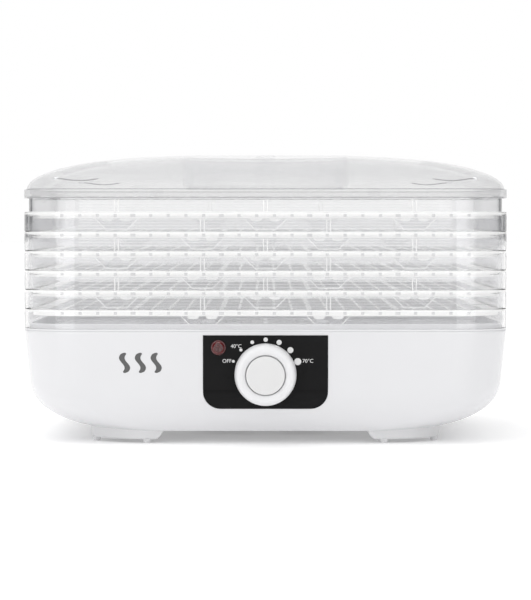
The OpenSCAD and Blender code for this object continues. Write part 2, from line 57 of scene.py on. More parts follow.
camera = bpy.data.objects.new("camera", bpy.data.cameras.new("camera"))
scene.collection.objects.link(camera)
eye_height = 184 * MM
eye_distance = 1835 * MM
camera.location = (0, front_y - eye_distance, eye_height)
camera.rotation_euler = (math.radians(90 - 2.145), 0, 0)
camera.data.lens = 139.4
camera.data.sensor_width = 36
camera.data.clip_start = 0.05
camera.data.clip_end = 60
scene.camera = camera

world = bpy.data.worlds.new("light_tent")
scene.world = world
world.use_nodes = True
tent = world.node_tree
tent.nodes.clear()
tent_out = tent.nodes.new("ShaderNodeOutputWorld")
tent_light = tent.nodes.new("ShaderNodeBackground")
tent_place = tent.nodes.new("ShaderNodeTexCoord")
tent_split = tent.nodes.new("ShaderNodeSeparateXYZ")
tent_side = tent.nodes.new("ShaderNodeMath")
tent_side.operation = "ABSOLUTE"
tent_ramp = tent.nodes.new("ShaderNodeValToRGB")
tent_ramp.color_ramp.elements[0].position = 0.15
tent_ramp.color_ramp.elements[0].color = (1, 1, 1, 1)
tent_ramp.color_ramp.elements[1].position = 0.6
tent_ramp.color_ramp.elements[1].color = (0.14, 0.143, 0.15, 1)
tent_fill = tent.nodes.new("ShaderNodeMapRange")
tent_fill.inputs["From Min"].default_value = -1
tent_fill.inputs["To Min"].default_value = 1.14
tent_fill.inputs["To Max"].default_value = 0.84
tent_rays = tent.nodes.new("ShaderNodeLightPath")
tent_soft = tent.nodes.new("ShaderNodeMix")
tent_soft.data_type = "RGBA"
tent_seen = tent.nodes.new("ShaderNodeMix")
tent_seen.data_type = "RGBA"
tent_seen.inputs["B"].default_value = (1, 1, 1, 1)
for source, target in [
    (tent_place.outputs["Generated"], tent_split.inputs[0]),
    (tent_split.outputs["X"], tent_side.inputs[0]),
    (tent_side.outputs[0], tent_ramp.inputs["Fac"]),
    (tent_split.outputs["X"], tent_fill.inputs["Value"]),
    (tent_rays.outputs["Is Diffuse Ray"], tent_soft.inputs["Factor"]),
    (tent_ramp.outputs["Color"], tent_soft.inputs["A"]),
    (tent_fill.outputs["Result"], tent_soft.inputs["B"]),
    (tent_rays.outputs["Is Camera Ray"], tent_seen.inputs["Factor"]),
    (tent_soft.outputs["Result"], tent_seen.inputs["A"]),
    (tent_seen.outputs["Result"], tent_light.inputs["Color"]),
    (tent_light.outputs[0], tent_out.inputs["Surface"]),
]:
    tent.links.new(source, target)


def softbox(name, place, aim, width, height, power):
    data = bpy.data.lights.new(name, "AREA")
    data.shape = "RECTANGLE"
    data.size = width
    data.size_y = height
    data.energy = power
    lamp = bpy.data.objects.new(name, data)
    lamp.location = place
    lamp.rotation_euler = (Vector(aim) - Vector(place)).to_track_quat("-Z", "Y").to_euler()
    scene.collection.objects.link(lamp)
    return lamp


for lamp_side in (-1, 1):
    panel_light = softbox("softbox_side", (lamp_side * 0.9, front_y - 1.3, 0.45), (0, middle_y, 0.14),
                          width=1.1, height=1.3, power=5)
    panel_light.visible_diffuse = False
softbox("softbox_above", (-0.3, middle_y - 0.4, 1.5), (0, middle_y, 0), width=1.4, height=1.4, power=5)

table = bpy.data.meshes.new("table")
table_reach = 12
table.from_pydata(
    [(-table_reach, -table_reach, 0), (table_reach, -table_reach, 0),
     (table_reach, table_reach, 0), (-table_reach, table_reach, 0)],
    [], [(0, 1, 2, 3)])
table_top = bpy.data.objects.new("table_top", table)
scene.collection.objects.link(table_top)
table_paint = bpy.data.materials.new("table_white")
table_paint.use_nodes = True
table_shader = table_paint.node_tree.nodes["Principled BSDF"]
table_shader.inputs["Base Color"].default_value = (0.95, 0.95, 0.95, 1)
table_shader.inputs["Emission Color"].default_value = (1, 1, 1, 1)
table_shader.inputs["Emission Strength"].default_value = 0.16
table_shader.inputs["Roughness"].default_value = 0.8
table_shader.inputs["Specular IOR Level"].default_value = 0.1
table.materials.append(table_paint)

scene.view_settings.view_transform = "Standard"
scene.cycles.max_bounces = 32
scene.cycles.transmission_bounces = 32
scene.cycles.transparent_max_bounces = 64
scene.cycles.diffuse_bounces = 4
scene.cycles.glossy_bounces = 8


# ---------------------------------------------------------------- Base housing
# The white shell is one ABS moulding: drafted side walls that round into a flat underside, a rim
# with a low upstand for the first tray, and a sunken deck with a plinth round the air outlet.
shell_w = housing_high.x - housing_low.x
shell_d = housing_high.y - housing_low.y
corner_r = 45 * MM
arc_steps = 12
long_steps = 10
short_steps = 8


def outline(half_w, half_d, r):
    """Rounded rectangle round the body's middle, anticlockwise from the right-hand side."""
    points = []
    for turn, (sx, sy) in enumerate([(1, 1), (-1, 1), (-1, -1), (1, -1)]):
        for k in range(arc_steps + 1):
            a = math.pi / 2 * (turn + k / arc_steps)
            points.append((sx * (half_w - r) + r * math.cos(a), sy * (half_d - r) + r * math.sin(a)))
        steps = long_steps if turn % 2 == 0 else short_steps
        x0, y0 = points[-1]
        x1 = -x0 if turn % 2 == 0 else x0
        y1 = y0 if turn % 2 == 0 else -y0
        for k in range(1, steps):
            t = k / steps
            points.append((x0 + (x1 - x0) * t, y0 + (y1 - y0) * t))
    return points


def body_ring(inset, z):
    """The body's own outline, drawn in by inset, at height z."""
    return [Vector((x, middle_y + y, z))
            for x, y in outline(shell_w / 2 - inset, shell_d / 2 - inset, corner_r - inset)]


def box_ring(half_w, half_d, r, z):
    return [Vector((x, middle_y + y, z)) for x, y in outline(half_w, half_d, r)]


ring_angles = [math.atan2(y, x) for x, y in outline(shell_w / 2, shell_d / 2, corner_r)]


def round_ring(r, z):
    """A circle whose points stand opposite those of the body's outline."""
    return [Vector((r * math.cos(a), middle_y + r * math.sin(a), z)) for a in ring_angles]


def loft(name, rings, joined=False, smooth_angle=35):
    """Skins a stack of rings. joined closes the last ring to the first; otherwise both ends are capped."""
    mesh = bpy.data.meshes.new(name)
    count = len(rings[0])
    points = [p for ring in rings for p in ring]
    faces = []
    bands = len(rings) if joined else len(rings) - 1
    for i in range(bands):
        a = i * count
        b = (i + 1) % len(rings) * count
        for k in range(count):
            n = (k + 1) % count
            faces.append((a + k, a + n, b + n, b + k))
    if not joined:
        for start, flip in ((0, True), ((len(rings) - 1) * count, False)):
            hub = len(points)
            points.append(sum((points[start + k] for k in range(count)), Vector()) / count)
            for k in range(count):
                n = (k + 1) % count
                faces.append((start + n, start + k, hub) if flip else (start + k, start + n, hub))
    mesh.from_pydata(points, [], faces)
    return finished(mesh, name, smooth_angle)


def finished(mesh, name, smooth_angle=35):
    """Makes an object of a mesh: welded, facing outwards, smooth but for its real edges."""
    work = bmesh.new()
    work.from_mesh(mesh)
    bmesh.ops.remove_doubles(work, verts=work.verts, dist=1e-6)
    bmesh.ops.recalc_face_normals(work, faces=work.faces)
    work.to_mesh(mesh)
    work.free()
    mesh.polygons.foreach_set("use_smooth", [True] * len(mesh.polygons))
    mesh.set_sharp_from_angle(angle=math.radians(smooth_angle))
    piece = bpy.data.objects.new(name, mesh)
    scene.collection.objects.link(piece)
    return piece


side_foot_z = 52 * MM
side_draft = 4 * MM
under_z = 10 * MM
rim_z = 91.8 * MM
deck_z = 86.5 * MM
front_arc_r = 44 * MM


def half_width_at(z):
    """Half the width of the shell in front view: drafted wall, tight arc, then a wide arc below."""
    low = shell_w / 2 - side_draft
    if z >= side_foot_z:
        return low + side_draft * (z - side_foot_z) / (rim_z - side_foot_z)
    drop = side_foot_z - z
    flat = low - 61 * MM
    if drop < 26.8 * MM:
        return flat + 28 * MM + math.sqrt((33 * MM) ** 2 - drop ** 2)
    return flat + math.sqrt(max(0, (81.06 * MM) ** 2 - (drop + 39.06 * MM) ** 2))


def half_depth_at(z):
    """Half the depth of the shell in side view: upright wall, then an arc below."""
    drop = max(0, front_arc_r - z)
    return shell_d / 2 - front_arc_r + math.sqrt(front_arc_r ** 2 - drop ** 2)


def shell_ring(z, inset=0.0):
    low = max(0, side_foot_z - z) / side_foot_z
    r = corner_r + 16 * MM * low ** 2 - inset
    return box_ring(half_width_at(z) - inset, half_depth_at(z) - inset, r, z)


wall = 2.8 * MM
cover_w, cover_d, cover_r = 256 * MM, 200 * MM, 16 * MM
under_steps = 22
under_rings = []
for step in range(under_steps + 1):
    z = side_foot_z - (side_foot_z - under_z) * math.cos(math.pi / 2 * step / under_steps)
    under_rings.append(z)
housing_rings = [box_ring(cover_w / 2, cover_d / 2, cover_r, under_z)]
housing_rings += [shell_ring(z) for z in under_rings]
housing_rings += [shell_ring(z) for z in (60 * MM, 70 * MM, 80 * MM, 88 * MM)]
groove_z = rim_z - 1.5 * MM
housing_rings += [
    shell_ring(groove_z - 0.45 * MM), shell_ring(groove_z - 0.25 * MM, 0.12 * MM),
    shell_ring(groove_z - 0.12 * MM, 0.5 * MM), shell_ring(groove_z + 0.12 * MM, 0.5 * MM),
    shell_ring(groove_z + 0.25 * MM, 0.12 * MM), shell_ring(groove_z + 0.45 * MM),
    shell_ring(rim_z - 0.5 * MM), shell_ring(rim_z - 0.15 * MM, 0.15 * MM), shell_ring(rim_z, 0.5 * MM),
]
upstand_z = rim_z + 4.2 * MM
housing_rings += [
    body_ring(3.6 * MM, rim_z), body_ring(3.8 * MM, rim_z + 0.3 * MM),
    body_ring(3.8 * MM, upstand_z - 0.4 * MM), body_ring(4.2 * MM, upstand_z),
    body_ring(5.4 * MM, upstand_z), body_ring(5.8 * MM, upstand_z - 0.4 * MM),
    body_ring(6.0 * MM, deck_z + 1.2 * MM), body_ring(7.2 * MM, deck_z),
    round_ring(82 * MM, deck_z), round_ring(77 * MM, deck_z + 0.5 * MM),
    round_ring(59 * MM, deck_z + 3.2 * MM), round_ring(57 * MM, deck_z + 3.5 * MM),
    round_ring(50.5 * MM, deck_z + 3.5 * MM),
    round_ring(50 * MM, deck_z + 3.0 * MM), round_ring(50 * MM, deck_z - 2.5 * MM),
    body_ring(wall + 1 * MM, deck_z - 2.5 * MM), body_ring(wall + 0.1 * MM, deck_z - 3.5 * MM),
]
housing_rings += [shell_ring(z, wall) for z in (70 * MM, side_foot_z)]
housing_rings += [shell_ring(z, wall) for z in (42 * MM, 34 * MM, 26 * MM, 19 * MM, 15 * MM)]
housing_rings += [
    box_ring(half_width_at(13 * MM) - 8 * MM, half_depth_at(13 * MM) - 5 * MM, 50 * MM, under_z + wall),
    box_ring(cover_w / 2, cover_d / 2, cover_r, under_z + wall),
]
housing = loft("housing_shell", housing_rings, joined=True)


def node_group(name, inputs, outputs):
    """An empty shader group with these sockets, and its input and output nodes."""
    group = bpy.data.node_groups.new(name, "ShaderNodeTree")
    for label, kind, value in inputs:
        socket = group.interface.new_socket(label, in_out="INPUT", socket_type=kind)
        socket.default_value = value
    for label, kind in outputs:
        group.interface.new_socket(label, in_out="OUTPUT", socket_type=kind)
    return group, group.nodes.new("NodeGroupInput"), group.nodes.new("NodeGroupOutput")


def joined_nodes(group, kind, **settings):
    """A new node in group with its properties and its unlinked inputs set."""
    made = group.nodes.new(kind)
    for key, value in settings.items():
        if hasattr(made, key):
            setattr(made, key, value)
        else:
            made.inputs[key.replace("_", " ")].default_value = value
    return made


# Moulded plastic: very slow colour drift, a fine spark-eroded grain, and a painted highlight that mixes
# convex edges a little towards white.
moulded_skin, skin_in, skin_out = node_group(
    "moulded_skin",
    [("Colour", "NodeSocketColor", (0.8, 0.8, 0.8, 1)), ("Drift", "NodeSocketFloat", 0.02),
     ("Roughness", "NodeSocketFloat", 0.3), ("Roughness Spread", "NodeSocketFloat", 0.08),
     ("Grain Scale", "NodeSocketFloat", 1800.0), ("Edge Highlight", "NodeSocketFloat", 0.1)],
    [("Colour", "NodeSocketColor"), ("Roughness", "NodeSocketFloat"), ("Grain", "NodeSocketFloat")])
skin_place = moulded_skin.nodes.new("ShaderNodeTexCoord")
skin_cloud = joined_nodes(moulded_skin, "ShaderNodeTexNoise", Scale=14.0, Detail=4.0)
skin_grain = joined_nodes(moulded_skin, "ShaderNodeTexNoise", Detail=2.0)
skin_smudge = joined_nodes(moulded_skin, "ShaderNodeTexNoise", Scale=55.0, Detail=5.0)
skin_edges = moulded_skin.nodes.new("ShaderNodeNewGeometry")
# Painted highlight: pointiness picks out convex edges, and the Edge Highlight share mixes them towards white.
skin_edge_ramp = joined_nodes(moulded_skin, "ShaderNodeMapRange", From_Min=0.52, From_Max=0.6,
                              To_Min=0.0, To_Max=1.0)
skin_edge_share = joined_nodes(moulded_skin, "ShaderNodeMath", operation="MULTIPLY")
skin_drift = joined_nodes(moulded_skin, "ShaderNodeMapRange", From_Min=0.3, From_Max=0.7, To_Max=1.0)
skin_low = joined_nodes(moulded_skin, "ShaderNodeMath", operation="SUBTRACT")
skin_low.inputs[0].default_value = 1.0
skin_shade = joined_nodes(moulded_skin, "ShaderNodeVectorMath", operation="SCALE")
skin_light = joined_nodes(moulded_skin, "ShaderNodeMix", data_type="RGBA")
skin_light.inputs["B"].default_value = (1, 1, 1, 1)
skin_rough_low = joined_nodes(moulded_skin, "ShaderNodeMath", operation="SUBTRACT")
skin_rough_high = joined_nodes(moulded_skin, "ShaderNodeMath", operation="ADD")
skin_rough = joined_nodes(moulded_skin, "ShaderNodeMapRange", From_Min=0.3, From_Max=0.7)
for source, target in [
    (skin_place.outputs["Object"], skin_cloud.inputs["Vector"]),
    (skin_place.outputs["Object"], skin_grain.inputs["Vector"]),
    (skin_place.outputs["Object"], skin_smudge.inputs["Vector"]),
    (skin_in.outputs["Grain Scale"], skin_grain.inputs["Scale"]),
    (skin_in.outputs["Drift"], skin_low.inputs[1]),
    (skin_cloud.outputs["Fac"], skin_drift.inputs["Value"]),
    (skin_low.outputs[0], skin_drift.inputs["To Min"]),
    (skin_in.outputs["Colour"], skin_shade.inputs[0]),
    (skin_drift.outputs["Result"], skin_shade.inputs["Scale"]),
    (skin_edges.outputs["Pointiness"], skin_edge_ramp.inputs["Value"]),
    (skin_edge_ramp.outputs["Result"], skin_edge_share.inputs[0]),
    (skin_in.outputs["Edge Highlight"], skin_edge_share.inputs[1]),
    (skin_edge_share.outputs[0], skin_light.inputs["Factor"]),
    (skin_shade.outputs["Vector"], skin_light.inputs["A"]),
    (skin_light.outputs["Result"], skin_out.inputs["Colour"]),
    (skin_in.outputs["Roughness"], skin_rough_low.inputs[0]),
    (skin_in.outputs["Roughness Spread"], skin_rough_low.inputs[1]),
    (skin_in.outputs["Roughness"], skin_rough_high.inputs[0]),
    (skin_in.outputs["Roughness Spread"], skin_rough_high.inputs[1]),
    (skin_smudge.outputs["Fac"], skin_rough.inputs["Value"]),
    (skin_rough_low.outputs[0], skin_rough.inputs["To Min"]),
    (skin_rough_high.outputs[0], skin_rough.inputs["To Max"]),
    (skin_rough.outputs["Result"], skin_out.inputs["Roughness"]),
    (skin_grain.outputs["Fac"], skin_out.inputs["Grain"]),
]:
    moulded_skin.links.new(source, target)


def plastic(name, colour, roughness, spread=0.06, drift=0.02, grain_scale=1800.0, grain=0.02,
            edge_highlight=0.1, specular=0.5, coat=0.0):
    """An opaque moulded plastic with its grain as bump."""
    made = bpy.data.materials.new(name)
    made.use_nodes = True
    nodes, links = made.node_tree.nodes, made.node_tree.links
    shader = nodes["Principled BSDF"]
    shader.inputs["Specular IOR Level"].default_value = specular
    shader.inputs["Coat Weight"].default_value = coat
    shader.inputs["Coat Roughness"].default_value = 0.08
    skin = nodes.new("ShaderNodeGroup")
    skin.node_tree = moulded_skin
    # Edge Highlight sets how strongly convex edges are painted lighter, as a highlight.
    for label, value in (("Colour", (*colour, 1)), ("Drift", drift), ("Roughness", roughness),
                         ("Roughness Spread", spread), ("Grain Scale", grain_scale),
                         ("Edge Highlight", edge_highlight)):
        skin.inputs[label].default_value = value
    bump = nodes.new("ShaderNodeBump")
    bump.inputs["Strength"].default_value = grain
    bump.inputs["Distance"].default_value = 0.1 * MM
    links.new(skin.outputs["Colour"], shader.inputs["Base Color"])
    links.new(skin.outputs["Roughness"], shader.inputs["Roughness"])
    links.new(skin.outputs["Grain"], bump.inputs["Height"])
    links.new(bump.outputs["Normal"], shader.inputs["Normal"])
    return made


def dress(piece, body, *materials, slot=None, stands_for=()):
    """Gives a new piece its materials and seats it on its body."""
    for material in materials:
        piece.data.materials.append(material)
    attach(piece, body)
    if stands_for:
        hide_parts(*stands_for)
    return piece


def finish_node(material, *names):
    """Gives CAD pieces that keep their shape a better material."""
    for name in names:
        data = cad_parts[name].data
        data.materials.clear()
        data.materials.append(material)


white_abs = plastic("white_abs", (0.74, 0.74, 0.755), 0.22, spread=0.05, grain=0.015, edge_highlight=0.25,
                    coat=0.15)
dress(housing, "base", white_abs, slot="white_housing", stands_for=["base_housing"])


# ---------------------------------------------------------------- Bottom cover and feet
# A flat white cover with air intake slots closes the underside with four screws. Each foot is a
# curved white wall under a corner, with two short studs that touch the table.
cover_white = plastic("cover_white", (0.7, 0.7, 0.71), 0.42, spread=0.08, grain=0.06, edge_highlight=0.15)
finish_node(cover_white, "bottom_cover")

foot_arc_r = 52 * MM
foot_arc_x = 95 * MM
foot_arc_y = 66 * MM
foot_wall = 6 * MM
foot_low_z = 3 * MM
foot_high_z = 12.5 * MM
foot_angles = (-14.5, 57.5)


def foot_mesh(side, end):
    """A curved wall with sloped ends, drawn at one corner."""
    rings = []
    steps = 26
    for k in range(steps + 1):
        a = math.radians(foot_angles[0] + (foot_angles[1] - foot_angles[0]) * k / steps)
        toward = Vector((math.sin(a), math.cos(a), 0))
        if a < 0:
            centre = Vector((foot_arc_x + foot_arc_r * math.tan(a), foot_arc_y + foot_arc_r, 0))
            toward = Vector((0, 1, 0))
        else:
            centre = Vector((foot_arc_x, foot_arc_y, 0)) + toward * foot_arc_r
        from_end = min(k, steps - k) / steps
        lift = max(0.0, 1 - from_end / 0.1) ** 2 * 6.5 * MM if k < steps / 2 else \
            max(0.0, 1 - from_end / 0.06) ** 2 * 5 * MM
        low = foot_low_z + lift
        half = foot_wall / 2
        edge = 0.8 * MM
        section = [(-half, foot_high_z), (-half, low + edge), (-half + edge, low),
                   (half - edge, low), (half, low + edge), (half, foot_high_z)]
        ring = []
        for out, z in section:
            p = centre + toward * out
            ring.append(Vector((side * p.x, middle_y + end * p.y, z)))
        rings.append(ring)
    return rings


def stud_rings(side, end, angle):
    a = math.radians(angle)
    x = foot_arc_x + foot_arc_r * math.sin(a)
    y = foot_arc_y + foot_arc_r * math.cos(a)
    rings = []
    for r, z in ((2.3, 0), (2.7, 0.4), (3.3, 2.6), (3.5, 3.6)):
        turns = [2 * math.pi * k / 24 for k in range(24)]
        rings.append([Vector((side * x + r * MM * math.cos(t), middle_y + end * y + r * MM * math.sin(t),
                              z * MM)) for t in turns])
    return rings


def merged(name, parts, smooth_angle=35):
    """Joins closed parts into one piece."""
    work = bmesh.new()
    for part in parts:
        work.from_mesh(part.data)
        data = part.data
        bpy.data.objects.remove(part)
        bpy.data.meshes.remove(data)
    mesh = bpy.data.meshes.new(name)
    work.to_mesh(mesh)
    work.free()
    return finished(mesh, name, smooth_angle)


for side, side_name in ((-1, "left"), (1, "right")):
    for end, end_name in ((-1, "front"), (1, "rear")):
        foot = merged(f"foot_{end_name}_{side_name}_shaped", [
            loft("wall", foot_mesh(side, end)),
            loft("stud", stud_rings(side, end, 0)),
            loft("stud", stud_rings(side, end, 53)),
        ])
        dress(foot, "base", cover_white, slot="white_housing", stands_for=[f"foot_{end_name}_{side_name}"])


# ---------------------------------------------------------------- Metal parts inside
# Zinc-plated screws, brackets, shaft and thermostat can; stacked laminations; bronze bushes; the
# copper winding; and the nichrome wire on its mica cross.
rolled_metal, rolled_in, rolled_out = node_group(
    "rolled_metal",
    [("Colour", "NodeSocketColor", (0.6, 0.6, 0.62, 1)), ("Tarnish", "NodeSocketColor", (0.3, 0.28, 0.25, 1)),
     ("Tarnish Share", "NodeSocketFloat", 0.25), ("Roughness", "NodeSocketFloat", 0.3),
     ("Streak Scale", "NodeSocketFloat", 900.0)],
    [("Colour", "NodeSocketColor"), ("Roughness", "NodeSocketFloat"), ("Streaks", "NodeSocketFloat")])
rolled_place = rolled_metal.nodes.new("ShaderNodeTexCoord")
rolled_stretch = joined_nodes(rolled_metal, "ShaderNodeMapping")
rolled_stretch.inputs["Scale"].default_value = (0.06, 0.06, 1.0)
rolled_lines = joined_nodes(rolled_metal, "ShaderNodeTexNoise", Detail=3.0)
rolled_patch = joined_nodes(rolled_metal, "ShaderNodeTexNoise", Scale=160.0, Detail=6.0)
rolled_patch_ramp = joined_nodes(rolled_metal, "ShaderNodeMapRange", From_Min=0.45, From_Max=0.75)
rolled_share = joined_nodes(rolled_metal, "ShaderNodeMath", operation="MULTIPLY")
rolled_tint = joined_nodes(rolled_metal, "ShaderNodeMix", data_type="RGBA")
rolled_gain = joined_nodes(rolled_metal, "ShaderNodeMath", operation="MULTIPLY_ADD")
rolled_gain.inputs[1].default_value = 0.25
for source, target in [
    (rolled_place.outputs["Object"], rolled_stretch.inputs["Vector"]),
    (rolled_stretch.outputs["Vector"], rolled_lines.inputs["Vector"]),
    (rolled_in.outputs["Streak Scale"], rolled_lines.inputs["Scale"]),
    (rolled_place.outputs["Object"], rolled_patch.inputs["Vector"]),
    (rolled_patch.outputs["Fac"], rolled_patch_ramp.inputs["Value"]),
    (rolled_patch_ramp.outputs["Result"], rolled_share.inputs[0]),
    (rolled_in.outputs["Tarnish Share"], rolled_share.inputs[1]),
    (rolled_share.outputs[0], rolled_tint.inputs["Factor"]),
    (rolled_in.outputs["Colour"], rolled_tint.inputs["A"]),
    (rolled_in.outputs["Tarnish"], rolled_tint.inputs["B"]),
    (rolled_tint.outputs["Result"], rolled_out.inputs["Colour"]),
    (rolled_lines.outputs["Fac"], rolled_gain.inputs[0]),
    (rolled_in.outputs["Roughness"], rolled_gain.inputs[2]),
    (rolled_gain.outputs[0], rolled_out.inputs["Roughness"]),
    (rolled_lines.outputs["Fac"], rolled_out.inputs["Streaks"]),
]:
    rolled_metal.links.new(source, target)


def metal(name, colour, tarnish, tarnish_share, roughness, streak_scale=900.0, bump_strength=0.15):
    made = bpy.data.materials.new(name)
    made.use_nodes = True
    nodes, links = made.node_tree.nodes, made.node_tree.links
    shader = nodes["Principled BSDF"]
    shader.inputs["Metallic"].default_value = 1.0
    skin = nodes.new("ShaderNodeGroup")
    skin.node_tree = rolled_metal
    for label, value in (("Colour", (*colour, 1)), ("Tarnish", (*tarnish, 1)),
                         ("Tarnish Share", tarnish_share), ("Roughness", roughness),
                         ("Streak Scale", streak_scale)):
        skin.inputs[label].default_value = value
    bump = nodes.new("ShaderNodeBump")
    bump.inputs["Strength"].default_value = bump_strength
    bump.inputs["Distance"].default_value = 0.1 * MM
    links.new(skin.outputs["Colour"], shader.inputs["Base Color"])
    links.new(skin.outputs["Roughness"], shader.inputs["Roughness"])
    links.new(skin.outputs["Streaks"], bump.inputs["Height"])
    links.new(bump.outputs["Normal"], shader.inputs["Normal"])
    return made


zinc = metal("zinc_plate", (0.62, 0.63, 0.66), (0.42, 0.4, 0.34), 0.35, 0.24)
finish_node(zinc, "cover_screws", "motor_screws", "motor_bracket_lower", "motor_bracket_upper",
            "motor_mount", "motor_shaft", "thermostat_body", "thermostat_shaft", "thermal_fuse")
laminations = metal("laminations", (0.34, 0.34, 0.36), (0.16, 0.1, 0.07), 0.6, 0.45, 2600.0, 0.6)
finish_node(laminations, "motor_core", "motor_rotor")
copper = metal("copper_winding", (0.62, 0.26, 0.12), (0.3, 0.1, 0.04), 0.4, 0.22, 2200.0, 0.8)
finish_node(copper, "motor_coil")
bronze = metal("bronze", (0.66, 0.48, 0.22), (0.35, 0.24, 0.1), 0.3, 0.3)
finish_node(bronze, "bearing_bushes", "thermostat_nut")
nichrome = metal("nichrome", (0.32, 0.3, 0.29), (0.2, 0.16, 0.2), 0.6, 0.4, 3000.0, 0.7)
finish_node(nichrome, "heater_coil")
mica = plastic("mica_sheet", (0.55, 0.45, 0.3), 0.35, spread=0.15, drift=0.35, grain_scale=420.0, grain=0.25,
               edge_highlight=0.3)
finish_node(mica, "heater_frame")
nylon = plastic("natural_nylon", (0.7, 0.69, 0.63), 0.5, drift=0.06, grain=0.05)
finish_node(nylon, "terminal_block")
black_moulding = plastic("black_moulding", (0.03, 0.03, 0.032), 0.5, spread=0.12, drift=0.2, grain=0.2,
                         edge_highlight=0.08)
finish_node(black_moulding, "air_duct", "fan_impeller", "cord_gland", "lamp_body")


# ---------------------------------------------------------------- Fan grille
# A white round grille clips into the plinth; warm air rises through its ring slots.
grille_white = plastic("grille_white", (0.82, 0.82, 0.84), 0.3, grain=0.02, edge_highlight=0.3)
finish_node(grille_white, "fan_grille")


# ---------------------------------------------------------------- Control panel
# A satin black plate set into the front wall. The dial print is seven dots that grow with the
# temperature, and three short labels.
panel_black = plastic("panel_black", (0.004, 0.004, 0.0045), 0.32, spread=0.05, drift=0.2, grain=0.03,
                      edge_highlight=0.01, specular=0.03)
finish_node(panel_black, "control_panel")

knob_low, knob_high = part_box("knob")
knob_z = (knob_low.z + knob_high.z) / 2
panel_face_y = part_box("control_panel")[0].y
print_white = plastic("print_white", (0.8, 0.8, 0.8), 0.5, grain_scale=5200.0, grain=0.3, drift=0.12)
print_t = 0.12 * MM
dial_r = 27.4 * MM
dot_first, dot_step = 158.0, -22.77
dot_sizes = (2.3, 2.5, 3.0, 3.5, 4.1, 4.8, 5.6)


def turned(name, profile, x, y, z, sides=96, smooth_angle=35):
    """A turned piece on an axis that points forward; profile gives (radius, distance forward)."""
    rings = []
    for r, forward in profile:
        rings.append([Vector((x + r * math.cos(a), y - forward, z + r * math.sin(a)))
                      for a in [2 * math.pi * k / sides for k in range(sides)]])
    return loft(name, rings, smooth_angle=smooth_angle)


dots = []
for index, size in enumerate(dot_sizes):
    a = math.radians(dot_first + dot_step * index)
    r = size * MM / 2
    dots.append(turned("dot", [(r, -0.02 * MM), (r, print_t * 0.7), (r - 0.05 * MM, print_t)],
                       dial_r * math.cos(a), panel_face_y, knob_z + dial_r * math.sin(a), sides=32))
dress(merged("dial_dots", dots), "base", print_white)


def label(name, text, x, z, height):
    """Flat printed lettering on the panel's face."""
    curve = bpy.data.curves.new(name, "FONT")
    curve.body = text
    curve.size = height / 0.7
    curve.align_x = "CENTER"
    curve.align_y = "CENTER"
    curve.extrude = print_t / 2
    writer = bpy.data.objects.new("writer", curve)
    scene.collection.objects.link(writer)
    writer.rotation_euler = (math.radians(90), 0, 0)
    writer.location = (x, panel_face_y - print_t / 2, z)
    bpy.context.view_layer.update()
    mesh = bpy.data.meshes.new_from_object(writer.evaluated_get(bpy.context.evaluated_depsgraph_get()))
    mesh.transform(writer.matrix_world)
    mesh.name = name
    bpy.data.objects.remove(writer)
    return finished(mesh, name)


for name, text, x, z in (("label_off", "OFF", -30.5, 66.9), ("label_40", "40°C", -23.2, 78.6),
                         ("label_70", "70°C", 33.5, 66.9)):
    dress(label(name, text, x * MM, z * MM, 2.9 * MM), "base", print_white)


# ---------------------------------------------------------------- Indicator lamp
# A red lens with a domed, faceted face over a neon lamp in a black barrel.
lens_low, lens_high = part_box("lamp_lens")
lens_x = (lens_low.x + lens_high.x) / 2
lens_z = (lens_low.z + lens_high.z) / 2
lens = turned("lamp_lens_shaped", [
    (5.9 * MM, 0), (5.9 * MM, 1.0 * MM), (5.7 * MM, 1.2 * MM), (5.0 * MM, 1.4 * MM), (4.6 * MM, 2.3 * MM),
    (3.7 * MM, 3.2 * MM), (2.4 * MM, 3.65 * MM), (1.2 * MM, 3.3 * MM), (0.4 * MM, 2.9 * MM)],
    lens_x, lens_high.y, lens_z, sides=24, smooth_angle=14)
red_lens = bpy.data.materials.new("red_lens")
red_lens.use_nodes = True
lens_nodes, lens_links = red_lens.node_tree.nodes, red_lens.node_tree.links
lens_shader = lens_nodes["Principled BSDF"]
lens_shader.inputs["Specular IOR Level"].default_value = 0.6
lens_shader.inputs["Coat Weight"].default_value = 0.3
# Painted highlight: the lens goes from deep red where it faces the camera to a brighter red towards its rim.
lens_facing = lens_nodes.new("ShaderNodeLayerWeight")
lens_facing.inputs["Blend"].default_value = 0.35
lens_rim_highlight = lens_nodes.new("ShaderNodeMix")
lens_rim_highlight.data_type = "RGBA"
lens_rim_highlight.inputs["A"].default_value = (0.05, 0.001, 0.002, 1)
lens_rim_highlight.inputs["B"].default_value = (0.26, 0.016, 0.02, 1)
lens_flow = lens_nodes.new("ShaderNodeTexNoise")
lens_flow.inputs["Scale"].default_value = 900
lens_rough = lens_nodes.new("ShaderNodeMapRange")
lens_rough.inputs["To Min"].default_value = 0.08
lens_rough.inputs["To Max"].default_value = 0.2
lens_links.new(lens_facing.outputs["Facing"], lens_rim_highlight.inputs["Factor"])
lens_links.new(lens_rim_highlight.outputs["Result"], lens_shader.inputs["Base Color"])
lens_links.new(lens_flow.outputs["Fac"], lens_rough.inputs["Value"])
lens_links.new(lens_rough.outputs["Result"], lens_shader.inputs["Roughness"])
dress(lens, "base", red_lens, slot="red_lens", stands_for=["lamp_lens"])


